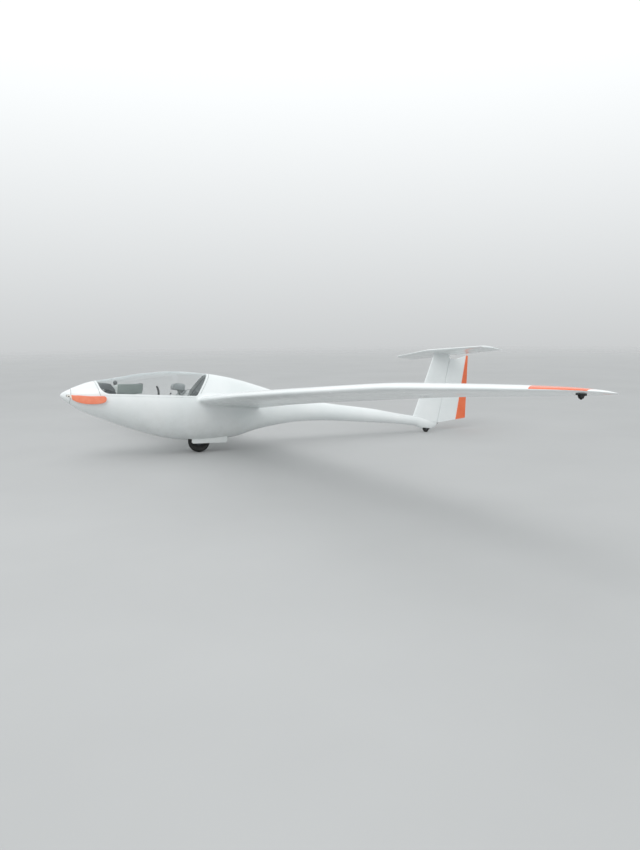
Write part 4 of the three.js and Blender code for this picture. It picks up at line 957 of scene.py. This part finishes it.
def elevator_nose(y):
    return lerp(17, 10, abs(y) / TAILPLANE_HALF)


def tailplane_ring(y):
    lead = tailplane_lead(abs(y))
    chord = TAILPLANE_TRAIL - lead
    end = (ELEVATOR_HINGE - elevator_nose(y) - 6 - lead) / chord
    ring = []
    for side, u in out_and_back(24):
        x = end * u**1.9
        half = 0 if u == 0 else half_depth(x, 0.1) * chord + 0.5
        ring.append(at(lead + x * chord, y, TAILPLANE_LEVEL + side * half))
    return ring


def elevator_ring(side, y, rake):
    tilt = math.radians(ELEVATOR_DROOP)
    reach = TAILPLANE_TRAIL - ELEVATOR_HINGE
    return ([at(ELEVATOR_HINGE + u, side * y, TAILPLANE_LEVEL + v)
             for u, v in front_arc(elevator_nose(y), 14)]
            + [at(ELEVATOR_HINGE + reach * math.cos(tilt), side * (y + rake),
                  TAILPLANE_LEVEL - reach * math.sin(tilt) + up) for up in (-1, 1)])


def build_tail():
    lug = bevel(slab((5823, 5906), (-13, 13), (1158, 1170)), 2)
    fin = loft([fin_ring(z) for z in spread(120, 1226, 12)])
    piece(merged(fin, lug), "fin_skin", WHITE, "fin", sharp=28)
    rudder = common(loft([rudder_ring(z) for z in spread(90, 1290, 14)]),
                    extruded(rounded(RUDDER_OUTLINE, [0, 4, 26, 22, 60, 6, 0], 8)))
    piece(rudder, "rudder_skin", WHITE, "rudder", body="rudder_body", sharp=28)
    tip_ys = [1110, 1118, 1126, 1133, 1138, TAILPLANE_HALF]
    ys = [-y for y in reversed(tip_ys)] + spread(-1090, 1090, 23) + tip_ys
    plane = loft([tailplane_ring(y) for y in ys])
    tongue = bevel(slab((5786, 5838), (-54, 54), (1227, 1245)), 3)
    pin = round_bar(*(at(ELEVATOR_HINGE, y, TAILPLANE_LEVEL) for y in (-78, 78)), 3, sides=16)
    piece(merged(plane, tongue, pin), "tailplane_skin", WHITE, "tailplane", sharp=28)
    for label, side in SIDES:
        rows = [(62, 0), (600, 0), (1100, 0), (TAILPLANE_HALF, 22)]
        half = loft([elevator_ring(side, y, rake) for y, rake in rows])
        piece(half, f"elevator_skin_{label}", WHITE, f"elevator_{label}", body="elevator_body",
              sharp=28)


# Propeller

def spinner_radius(station):
    return 86 * (station / 104) ** 0.62


def build_propeller():
    profile = [(spinner_radius(s), -s) for s in (0.4, 1.2, 2.6, 5, 8, 12, *spread(17, 110, 26))]
    profile = [(0, 0)] + profile + [(spinner_radius(111) - 0.6, -112), (0, -112)]
    spinner = lathe(profile, CENTRE, 96, "X")
    station, out = BLADE_PIVOT

    def pin(side, low, high, radius):
        return round_bar(at(station, side * out, low), at(station, side * out, high), radius)

    for side in (1, -1):
        cut(spinner, bevel(slab((66, 130), sorted((side * 44, side * 140)), (-15, 15)), 3))
        joined(spinner, *(pin(side, end * 14.2, end * 19, 4.2) for end in (-1, 1)))
    joined(spinner, round_bar(at(102, 0, 0), at(175.7, 0, 0), 13))
    piece(spinner, "spinner_shell", WHITE, "spinner", body="propeller_hub", sharp=30)
    piece(merged(*(pin(side, -14.4, 14.4, 4.2) for side in (1, -1))), "blade_pins", STEEL,
          body="propeller_hub")
    for label, side in SIDES:
        rings = []
        for s in [*spread(92, 120, 8), *spread(126, 465, 28), 475, 484, 492, 499, 504, 508, 511,
                  513, 514]:
            _, middle, width, thick, low = row_at(BLADE, s)
            rings.append([at(s, side * (middle + thick / 2 * math.cos(a)),
                             width / 2 * math.sin(a) - side * low) for a in turns(32)])
        root = round_bar(at(station, side * out, 0), at(98, side * 90, 0), 9)
        blade = joined(loft(rings), pin(side, -13.5, 13.5, 12), root)
        cut(blade, pin(side, -27, 27, 4.7))
        body = f"propeller_blade_{label}"
        piece(blade, f"blade_shell_{label}", BLADE_ORANGE, f"blade_{label}", body=body, sharp=36)
        bolt = lathe([(0, -12), (8, -12), (8, 2.2), (6.4, 3.2), (3, 3.2), (3, 1.6), (0, 1.6)],
                     at(97, 0, -6), 24)
        bolt.data.transform(Matrix.Translation((0, side * 94.4, 0)) @ Matrix.Scale(side, 4, ACROSS))
        piece(bolt, f"blade_bolt_{label}", BLACK, body=body, slot="steel")


# Wheels and what holds them

def build_wheels():
    for pattern, body, station, y, level, radius, tube_radius, rim, bore, grooves in WHEELS:
        centre = at(station, y, level)
        bead = tube_radius * 0.62
        profile = [(rim, -bead)]
        for a in spread(-0.36 * math.pi, 0.36 * math.pi, 41):
            r, along = radius - tube_radius + tube_radius * math.cos(a), tube_radius * math.sin(a)
            deep = max((1 - (along - g) ** 2 / 9 for g in grooves), default=0)
            profile.append((r - 2.6 * max(0, deep), along))
        tyre = lathe(profile + [(rim, bead)], centre)
        node = pattern.format("tyre")
        piece(tyre, node + "_rubber", RUBBER, node, body=body, sharp=40)
        outer = rim - 0.3
        lip, hub = outer * 0.93, max(bore * 1.5, bore + 1)
        shape = [(bore, 1), (hub, 1), (hub * 1.08, 0.62), (lip * 0.96, 0.5), (lip, 0.94), (outer, 1)]
        profile = [(r, -u * bead) for r, u in shape] + [(r, u * bead) for r, u in reversed(shape)]
        parts = [lathe(profile, centre, 72)]
        ring = (hub + lip) / 2
        bolts = [(a, face) for a in turns(6) for face in (-1, 1)] if radius > 50 else []
        for a, face in bolts:
            head = centre + Vector((ring * math.cos(a), face * bead * 0.5, ring * math.sin(a)))
            parts.append(round_bar(head, head + ACROSS * (face * radius * 0.03), radius * 0.034,
                                   sides=6))
        node = pattern.format("rim")
        piece(merged(*parts), node + "_turned", RIM, node, body=body, sharp=30)


def build_gear():
    clear = hull(0.3)
    for label, side in SIDES:
        door = extruded(rounded(GEAR_DOOR, [0, 0, 20, 26], 8), *sorted((side * 84, side * 89)))
        combine(door, clear, "DIFFERENCE", keep=True)
        piece(bevel(door, 1.2), f"gear_door_skin_{label}", DOOR_GREY, f"gear_door_{label}", sharp=30)
        links = []
        for station in (1800, 1848):
            links.append(tube([at(station, side * 64, -404), at(station, side * 74, -408),
                               at(station, side * 83.8, -408)], 3))
            links.append(slab((station - 9, station + 9), sorted((side * 80.5, side * 83.9)),
                              (-417, -399)))
        piece(merged(*links), f"gear_door_links_{label}", STEEL)
        y = side * 6400
        parts = [extruded([[1976, 100], [2001, 52], [2019, 52], [2044, 100]],
                          *sorted((y + edge * 8, y + edge * 11))) for edge in (1, -1)]
        parts += [slab(stations, (y - 11, y + 11), (70, 100))
                  for stations in ((1976, 1990), (2030, 2044))]
        below = [[p + Vector((0, 0, -0.4)) for p in wing_ring(side, u)] for u in spread(6330, 6470, 9)]
        bracket = cut(joined(*parts), loft(below))
        axle = round_bar(at(2010, y - 13, 60), at(2010, y + 13, 60), 2.5, sides=24)
        piece(merged(bevel(bracket, 0.8), axle), f"tip_fork_{label}", BLACK, f"tip_bracket_{label}")
    drop(clear)


# Cockpit

SEAT_CURVE = smooth(SEAT_PATH, 24)
SEAT_RUNS = [0.0]
for (s0, z0), (s1, z1) in zip(SEAT_CURVE, SEAT_CURVE[1:]):
    SEAT_RUNS.append(SEAT_RUNS[-1] + math.hypot(s1 - s0, z1 - z0))


def seat_point(run, y, height):
    """A point a height above the seat's middle surface, a run back from its front edge."""
    i = max(0, min(len(SEAT_RUNS) - 2, bisect.bisect_right(SEAT_RUNS, run) - 1))
    (s0, z0), (s1, z1) = SEAT_CURVE[i], SEAT_CURVE[i + 1]
    length = SEAT_RUNS[i + 1] - SEAT_RUNS[i]
    t = (run - SEAT_RUNS[i]) / length
    ds, dz = (s1 - s0) / length, (z1 - z0) / length
    return at(lerp(s0, s1, t) - dz * height, y, lerp(z0, z1, t) + ds * height)


def seat_up(run):
    return (seat_point(run, 0, 1) - seat_point(run, 0, 0)).normalized()


def pad_half(run, most, height=20):
    """Half a pad's width, where the fuselage leaves room for it."""
    point = seat_point(run, 0, height)
    return min(most, hull_half(-point.x, point.z, -SKIN) - 26)


def pad_blank(start, end, most, thick):
    """A pad on the seat with round corners, a little smaller than it will be."""
    rings = []
    for t in spread(0, 1, 33):
        run = lerp(start, end, t)
        pull = 1 - max(0, abs(t - 0.5) * 2 - 0.9) * 10
        corner = 1 - 0.16 * (1 - math.sqrt(max(0, 1 - (1 - pull) ** 2)))
        half = pad_half(run, most) * corner
        rise = thick * (0.72 + 0.28 * math.sqrt(pull)) if pull < 1 else thick
        ring = [seat_point(run, half * u, PAD_BASE + rise * (0.78 + 0.22 * (1 - u**4)))
                for u in spread(-1, 1, 15)]
        rings.append(ring + [seat_point(run, half * u, PAD_BASE) for u in spread(1, -1, 15)])
    return loft(rings)


def inflate(obj, cap, held):
    """Swells a pad by a short cloth simulation, in the row frame."""
    obj.data.transform(PLACE)
    modified(obj, "REMESH", mode="VOXEL", voxel_size=0.0055)
    rest = [v.co.copy() for v in obj.data.vertices]
    group = obj.vertex_groups.new(name="hold")
    group.add([i for i, co in enumerate(rest) if held(BACK @ co)], 1.0, "REPLACE")
    cloth = obj.modifiers.new("cloth", "CLOTH")
    cloth.settings.use_pressure = True
    cloth.settings.uniform_pressure_force = 4
    cloth.settings.vertex_group_mass = "hold"
    cloth.settings.effector_weights.gravity = 0
    cloth.point_cache.frame_end = 20
    for step in range(1, 21):
        bpy.context.scene.frame_set(step)
    bake(obj)
    bpy.context.scene.frame_set(1)
    for vertex, start in zip(obj.data.vertices, rest):
        moved = vertex.co - start
        if moved.length > cap:
            vertex.co = start + moved.normalized() * cap
    obj.vertex_groups.clear()
    return modified(obj, "SUBSURF", levels=1)


def cord_on(obj, points, lift, radius, sides):
    """A sewn thread or piping that follows a placed object's surface near some points."""
    tree = BVHTree.FromPolygons([v.co for v in obj.data.vertices],
                                [p.vertices for p in obj.data.polygons])
    path = []
    for point in points:
        place, normal, _, _ = tree.find_nearest(PLACE @ point)
        path.append(BACK @ (place + normal * (lift / 1000)))
    return tube(path, radius, sides)


def build_pad(name, start, end, most, thick, seams):
    """A cushion on the seat: seams are the runs of its sewn channels."""

    def held(point):
        nearest = min(range(len(SEAT_CURVE)), key=lambda i: math.dist((-point.x, point.z),
                                                                      SEAT_CURVE[i]))
        run = SEAT_RUNS[nearest]
        base = seat_point(run, 0, 0)
        up = seat_point(run, 0, 1) - base
        height = (point - base).dot(Vector((up.x, 0, up.z)))
        return height < 11 or min(abs(run - seam) for seam in seams) < 4.5

    def edge(run, y):
        return seat_point(run, y, PAD_BASE + thick * 0.62)

    cushion = piece(inflate(pad_blank(start, end, most, thick), 0.012, held), name, SEAT_CLOTH,
                    sharp=60, placed=True)
    threads = []
    for seam in seams:
        half = pad_half(seam, most) - 3
        line = [seat_point(seam, y, 40) for y in spread(-half, half, 60)]
        threads.append(cord_on(cushion, line, -0.2, 1.0, 6))
    runs = spread(start + 3, end - 3, 60)
    rear, front = pad_half(end, most) - 20, pad_half(start, most) - 20
    belt = [edge(r, pad_half(r, most) + 20) for r in runs]
    belt += [edge(end + 20, y) for y in spread(rear, -rear, 40)]
    belt += [edge(r, -pad_half(r, most) - 20) for r in reversed(runs)]
    belt += [edge(start - 20, y) for y in spread(-front, front, 40)]
    threads.append(cord_on(cushion, belt + belt[:1], 0.6, 2.1, 8))
    piece(merged(*threads), f"{name}_seams", PIPING)


def seat_sheet(thick):
    """A sheet that follows the seat's path."""
    path = smooth(SEAT_PATH, 6)
    upper, lower = [], []
    for i, (s, z) in enumerate(path):
        s0, z0 = path[max(i - 1, 0)]
        s1, z1 = path[min(i + 1, len(path) - 1)]
        length = math.hypot(s1 - s0, z1 - z0)
        ds, dz = (s1 - s0) / length * thick / 2, (z1 - z0) / length * thick / 2
        upper.append([s - dz, z + ds])
        lower.append([s + dz, z - ds])
    return extruded(upper + lower[::-1], -250, 250)


def build_seat():
    piece(bevel(common(seat_sheet(14), cabin(-SKIN - 0.3)), 3, 2, 50), "seat_shell", LINING,
          "seat_pan")
    build_pad("seat_cushion", 70, 400, 178, 20, [150, 232, 314])
    build_pad("back_cushion", 470, 925, 186, 20, [560, 650, 740, 830])


def build_headrest():
    s0, s1, z0, z1, half = HEADREST

    def held(point):
        return -point.x > s1 - 14 or point.z < z0 + 5

    outline = rounded([[s0 + 6, z0 + 4], [s1 - 4, z0 + 2], [s1 - 6, z1 - 6], [s0 + 10, z1 - 6]],
                      [16, 8, 14, 22], 6)
    rings = []
    for y in (-1, -0.985, -0.95, -0.9, *spread(-0.8, 0.8, 17), 0.9, 0.95, 0.985, 1):
        pull = math.sqrt(max(0.0, 1 - max(0.0, (abs(y) - 0.86) / 0.14) ** 2 * 0.72))
        rings.append([at(lerp((s0 + s1) / 2, s, lerp(0.84, 1, pull)), y * (half - 6),
                         lerp((z0 + z1) / 2, z, lerp(0.8, 1, pull))) for s, z in outline])
    cushion = piece(inflate(loft(rings), 0.008, held), "headrest_pad", CLOTH, "headrest", sharp=60,
                    placed=True)
    loop = [(s0 - 20, z) for z in spread(z0 + 14, z1 - 16, 20)]
    loop += [(s, z1 + 20) for s in spread(s0 + 16, s1 - 20, 30)]
    threads = [cord_on(cushion, [at(s, y, z) for s, z in loop], 0.5, 1.9, 8)
               for y in (-half + 20, half - 20)]
    piece(merged(*threads), "headrest_seams", PIPING)
    foot = bevel(extruded([[1478, 214], [1506, 150], [1532, 150], [1554, 214]], -46, 46), 3)
    piece(cut(foot, seat_sheet(14.6)), "headrest_foot", GREY)


def build_harness():
    lift = STRAP_LIFT
    straps = []
    for side in (1, -1):
        shoulder = [at(s, side * y, z) for s, y, z in
                    ((1722, 66, 205), (1690, 76, 213), (1640, 96, 224), (1592, 108, 228),
                     (1560, 110, 222))]
        shoulder += [seat_point(r, side * lerp(108, 64, (930 - r) / 480), lift)
                     for r in (930, 860, 780, 700, 620, 540, 480)]
        shoulder += [seat_point(430, side * 36, lift + 4), seat_point(404, side * 14, lift + 5)]
        straps.append(webbing(shoulder, 44, ACROSS))
        hip = pad_half(440, 178) + 14
        lap = [seat_point(run, side * y, height) for run, y, height in
               ((452, hip, 10), (448, hip - 22, 24), (436, 110, lift), (418, 60, lift + 3),
                (400, 16, lift + 5))]
        straps.append(webbing(lap, 44, seat_point(470, 0, 0) - seat_point(430, 0, 0)))
    crotch = [seat_point(run, 0, height) for run, height in
              ((300, 32), (330, 35), (362, lift), (388, lift + 4))]
    straps.append(webbing(crotch, 40, ACROSS))
    piece(merged(*straps), "harness_straps", WEBBING)
    buckle = lathe([(0, 0), (30, 0), (32, 3), (31, 9), (27, 13), (20, 14), (18, 17), (8, 18), (0, 18)],
                   sides=48)
    up = seat_up(398)
    turn = ACROSS.rotation_difference(up).to_matrix().to_4x4()
    buckle.data.transform(Matrix.Translation(seat_point(398, 0, lift + 4)) @ turn)
    piece(buckle, "harness_buckle", ALLOY)
    fittings, bolts = [], []
    for side in (1, -1):
        for run, y in ((560, 78), (424, 92)):
            middle = seat_point(run, side * y, lift + 2.5)
            along = (seat_point(run + 1, side * y, lift + 2.5) - middle).normalized()
            if run == 424:
                along = ACROSS
            cross = along.cross(up).normalized()
            corners = [middle + along * u * 14 + cross * v * 26
                       for u, v in ((-1, -1), (1, -1), (1, 1), (-1, 1), (-1, -1))]
            fittings.append(tube(corners, 2.4, 10))
        s, z = HARNESS_PLATE
        bolts += [round_bar(at(s - 5.2, y, z + 3), at(s - 11, y, z + 6), 6, sides=6)
                  for y in (side * 66 - 26, side * 66 + 26)]
    piece(merged(*fittings), "harness_adjusters", STEEL)
    piece(merged(*bolts), "harness_bolts", STEEL)


def build_panel():
    outline = rounded(PANEL, [0, 26, 30, 30, 10, 8, 8, 10, 60], 6)
    rings = []
    for y in (-PANEL_HALF, -149, -146, -141, *spread(-134, 134, 21), 141, 146, 149, PANEL_HALF):
        side = max(0, abs(y) - 134) / 16
        round_off = 12 * (1 - math.sqrt(max(0, 1 - side**2)))
        sag = 9 * (y / PANEL_HALF) ** 2 + round_off
        rings.append([at(s, y, z - sag * min(1, max(0, (z - 96) / 60))) for s, z in outline])
    piece(common(loft(rings), cabin(-SKIN - 0.3)), "panel_shell", PANEL_BODY, "instrument_panel",
          sharp=40)
    face = bevel(slab((972.5, DIAL_FACE), (-138, 138), (128, 222)), 1.6)
    piece(face, "panel_face", DIAL_BLACK)
    hood = extruded([[934, 226], [938, 244], [978, 242], [982, 236], [980, 226]], -128, 128)
    piece(bevel(hood, 3), "panel_hood", BLACK)
    shield = common(extruded([[402, 180], [420, 204], [572, 197], [629, 114], [600, 100],
                              [540, 120], [470, 110], [425, 150]]), hull(-22))
    piece(bevel(shield, 2), "glareshield", DARK_GREY)
    build_dials()
    knobs = [lathe([(0, 0), (5.5, 0), (6.5, -2), (6, -9), (4.5, -10.5), (0, -10.5)],
                   at(977.5, y, z), 32, "X")
             for y, z in ((-30, 136), (54, 136), (-128, 146), (-128, 206))]
    piece(merged(*knobs), "panel_knobs", BLACK)
    station, level = COMPASS
    middle = at(station, 0, level)
    ball = [(27 * math.cos(a), 27 * math.sin(a)) for a in spread(-0.42 * math.pi, 0.5 * math.pi, 21)]
    case = lathe([(0, ball[0][1]), *ball[:-1], (0, 27)], middle, 48, "Z")
    foot = round_bar(at(station, 0, 190), at(station, 0, level - 8), 17, 13)
    band = lathe([(26.2, -3), (28, -3), (28.6, -1.5), (28.6, 1.5), (28, 3), (26.2, 3)], middle, 48,
                 "Z")
    piece(merged(case, foot, band), "compass_case", BLACK, "compass", sharp=40)


def build_dials():
    bezels, faces, marks, glasses, screws = [], [], [], [], []
    for index, (y, z, radius) in enumerate(DIALS):

        def spoke(station, a, *reaches):
            return [at(station, y + r * math.sin(a), z + r * math.cos(a)) for r in reaches]

        centre = at(DIAL_FACE, y, z)
        bezels.append(lathe([(radius - 4, 0), (radius, 0), (radius, -4), (radius - 1.5, -5.5),
                             (radius - 4, -5)], centre, 56, "X"))
        for group, rim, low, high in ((faces, radius - 4.2, 0, -1), (glasses, radius - 4.1, -3.4, -4.2)):
            group.append(lathe([(0, low), (rim, low), (rim, high), (0, high)], centre, 48, "X"))
        ticks = 24 if radius > 30 else 12
        for k in range(ticks):
            near = radius * (0.66 if k % 2 else 0.58)
            ends = spoke(978.9, 2 * math.pi * (k + 0.5) / ticks, near, radius * 0.82)
            marks.append(tube(ends, 0.6, 6))
        hand = spoke(979.6, 0.7 + index * 1.3, -radius * 0.2, radius * 0.1, radius * 0.7)
        marks.append(tube(hand, [1.1, 1.2, 0.4], 8))
        for a in (0.25, 0.75, 1.25, 1.75):
            u, v = (radius + 3) * math.cos(a * math.pi), (radius + 3) * math.sin(a * math.pi)
            screws.append(round_bar(at(977.5, y + u, z + v), at(979, y + u, z + v), 1.8, sides=12))
    for name, parts, material in (("dial_bezels", bezels, BLACK), ("dial_faces", faces, DIAL_BLACK),
                                  ("dial_marks", marks, DIAL_WHITE),
                                  ("dial_panes", glasses, DIAL_GLASS),
                                  ("panel_screws", screws, STEEL)):
        piece(merged(*parts), name, material)


def build_controls():
    path = smooth(STICK, 10)
    radii = []
    for s, z in path:
        grip = min(1, max(0, (z - 92) / 24))
        groove = 0.9 * math.sin(z / 5.2) * (1 if 120 < z < 214 else 0)
        radii.append(lerp(8.2, 13.2, grip) + groove)
    radii[-2:] = [12, 8]
    stick = tube([at(s, 0, z) for s, z in path], radii, 28)
    piece(cut(stick, seat_sheet(14.6)), "stick_grip", BLACK, "control_stick", sharp=50)
    cap = lathe([(0, 0), (5, 0), (6, 2), (5.5, 6), (3, 7.5), (0, 7.5)], at(1190, 0, 233), 24, "Z")
    piece(cap, "stick_button", STEEL)
    folds = []
    for k in range(10):
        height, wide = 8 + k * 5.4, lerp(40, 13, k / 9)
        folds += [(wide, height), (wide - 5, height + 2.7)]
    gaiter = lathe([(8.4, 8), *folds, (8.4, 62)], sides=48)
    turn = ACROSS.rotation_difference((seat_up(238) + Vector((0, 0, 1))).normalized())
    gaiter.data.transform(Matrix.Translation(at(1141, 0, -301)) @ turn.to_matrix().to_4x4())
    piece(gaiter, "stick_gaiter", SEAT_CLOTH)
    station, level, middle = PEDALS
    reach = hull_half(station, level, -SKIN) - 2
    bars = [tube([at(station, -reach, level), at(station, reach, level)], 9, 24)]
    for y in (middle, -middle):
        bars.append(bevel(slab((station - 6, station + 6), (y - 30, y + 30),
                               (level - 20, level + 130)), 3))
        bars += [round_bar(at(station + 6, y - 26, z), at(station + 6, y + 26, z), 2.2, sides=10)
                 for z in spread(level + 8, level + 118, 8)]
        heel = ((4, -28, -14), (34, -26, -16), (40, 0, -16), (34, 26, -16), (4, 28, -14))
        bars.append(tube([at(station + s, y + u, level + z) for s, u, z in heel], 3.2, 12))
    piece(merged(*bars), "pedal_set", STEEL, "rudder_pedals", sharp=40)


def build_levers():
    """Levers on the left cockpit wall: airbrake, trim, tow release and flaperons."""
    slots, rods = [], []
    # Handle's material, station of its rest place, level, length of its slot
    for name, material, station, level, reach in (
            ("airbrake", BLUE, 1085, -6, 210), ("trim", GREEN, 1180, -92, 120),
            ("flaperon", BLACK, 1250, 20, 170), ("release", YELLOW, 900, -60, 40)):
        wall = hull_half(station, level, -SKIN)
        run = [at(s, hull_half(s, level, -SKIN) - 3, level)
               for s in spread(station - reach / 2, station + reach / 2, 12)]
        slots.append(strap(run, 20, 4, Vector((0, 0, 1))))
        foot = at(station, wall - 4, level)
        neck = at(station - 6, wall - 24, level + 14)
        head = at(station - 12, wall - 44, level + 26)
        rods.append(tube([foot, neck, head], 4, 14))
        ahead = (head - neck).normalized()
        handle = tube([head + ahead * u for u in (-6, 0, 14, 24, 27)], [6, 10.5, 11.5, 9.5, 5], 28)
        piece(handle, f"{name}_lever", material, sharp=50)
    piece(merged(*slots), "lever_slots", BLACK)
    piece(merged(*rods), "lever_rods", STEEL)


# CAD nodes that show as they are

def dress(material, *nodes):
    for name in nodes:
        mesh = frame["nodes"][name].data
        mesh.materials.clear()
        mesh.materials.append(material)


# Floor, light and camera

def build_stage():
    bpy.ops.mesh.primitive_circle_add(vertices=96, radius=70, fill_type="NGON", location=(0, 0, 0))
    floor = bpy.context.object
    floor.name = "floor"
    look = Look("floor_pale", Roughness=0.8)
    look.feed(look.shader.inputs["Base Color"], look.mix(look.patches(0.5, 4), "b0b1b1", "b5b6b6"))
    away = look.node("ShaderNodeVectorMath", {0: look.object}, operation="LENGTH").outputs["Value"]
    look.feed(look.shader.inputs["Alpha"], look.span(away, 14, 60, 1, 0))
    floor.data.materials.append(look.material)


def build_light():
    """A pale sky that brightens upwards, and one large soft lamp."""
    world = bpy.data.worlds.new("studio")
    bpy.context.scene.world = world
    world.use_nodes = True
    tree = world.node_tree
    way = tree.nodes.new("ShaderNodeTexCoord").outputs["Generated"]
    split = tree.nodes.new("ShaderNodeSeparateXYZ")
    tree.links.new(way, split.inputs[0])
    ramp = tree.nodes.new("ShaderNodeMapRange")
    for key, value in (("From Min", -0.05), ("From Max", 0.35), ("To Min", 0.6), ("To Max", 1.08)):
        ramp.inputs[key].default_value = value
    tree.links.new(split.outputs[2], ramp.inputs["Value"])
    background = tree.nodes["Background"]
    background.inputs["Color"].default_value = (0.965, 0.99, 1.0, 1)
    tree.links.new(ramp.outputs[0], background.inputs["Strength"])
    data = bpy.data.lights.new("key", "AREA")
    data.size = 7
    data.energy = 420
    lamp = bpy.data.objects.new("key", data)
    bpy.context.scene.collection.objects.link(lamp)
    lamp.location = (7, 7, 11)
    lamp.rotation_euler = (Vector((0, 0, 0.6)) - lamp.location).to_track_quat("-Z", "Y").to_euler()


def build_camera():
    """The photograph's camera; its focal length was 723.67 pixels on a height of 850."""
    yaw, pitch, roll = (math.radians(a) for a in (-116.660, 7.482, -0.548))
    ahead = Vector((math.cos(pitch) * math.cos(yaw), math.cos(pitch) * math.sin(yaw),
                    -math.sin(pitch)))
    right = ahead.cross(Vector((0, 0, 1))).normalized()
    up = right.cross(ahead)
    side = right * math.cos(roll) + up * math.sin(roll)
    top = up * math.cos(roll) - right * math.sin(roll)
    data = bpy.data.cameras.new("camera")
    data.sensor_fit = "VERTICAL"
    data.sensor_height = 36
    data.lens = 723.67 * 36 / 850
    data.clip_end = 400
    view = bpy.data.objects.new("camera", data)
    bpy.context.scene.collection.objects.link(view)
    view.matrix_world = (Matrix.Translation((4.3166, 9.4161, 1.6181))
                         @ Matrix((side, top, -ahead)).transposed().to_4x4())
    bpy.context.scene.camera = view
    bpy.context.scene.view_settings.view_transform = "Standard"


build_fuselage()
build_canopy()
for side_name, side_sign in SIDES:
    build_wing(side_name, side_sign)
build_tail()
build_propeller()
build_wheels()
build_gear()
build_seat()
build_headrest()
build_harness()
build_panel()
build_controls()
build_levers()
dress(ALLOY, "airbrake_left", "airbrake_right", "motor")
dress(STEEL, "main_axle", "tail_axle", "gear_leg_left", "gear_leg_right")
dress(LINING, "firewall", "panel_pedestal")
dress(BULKHEAD_GREY, "rear_bulkhead")
dress(CASE, "battery_left", "battery_right")
build_stage()
build_light()
build_camera()
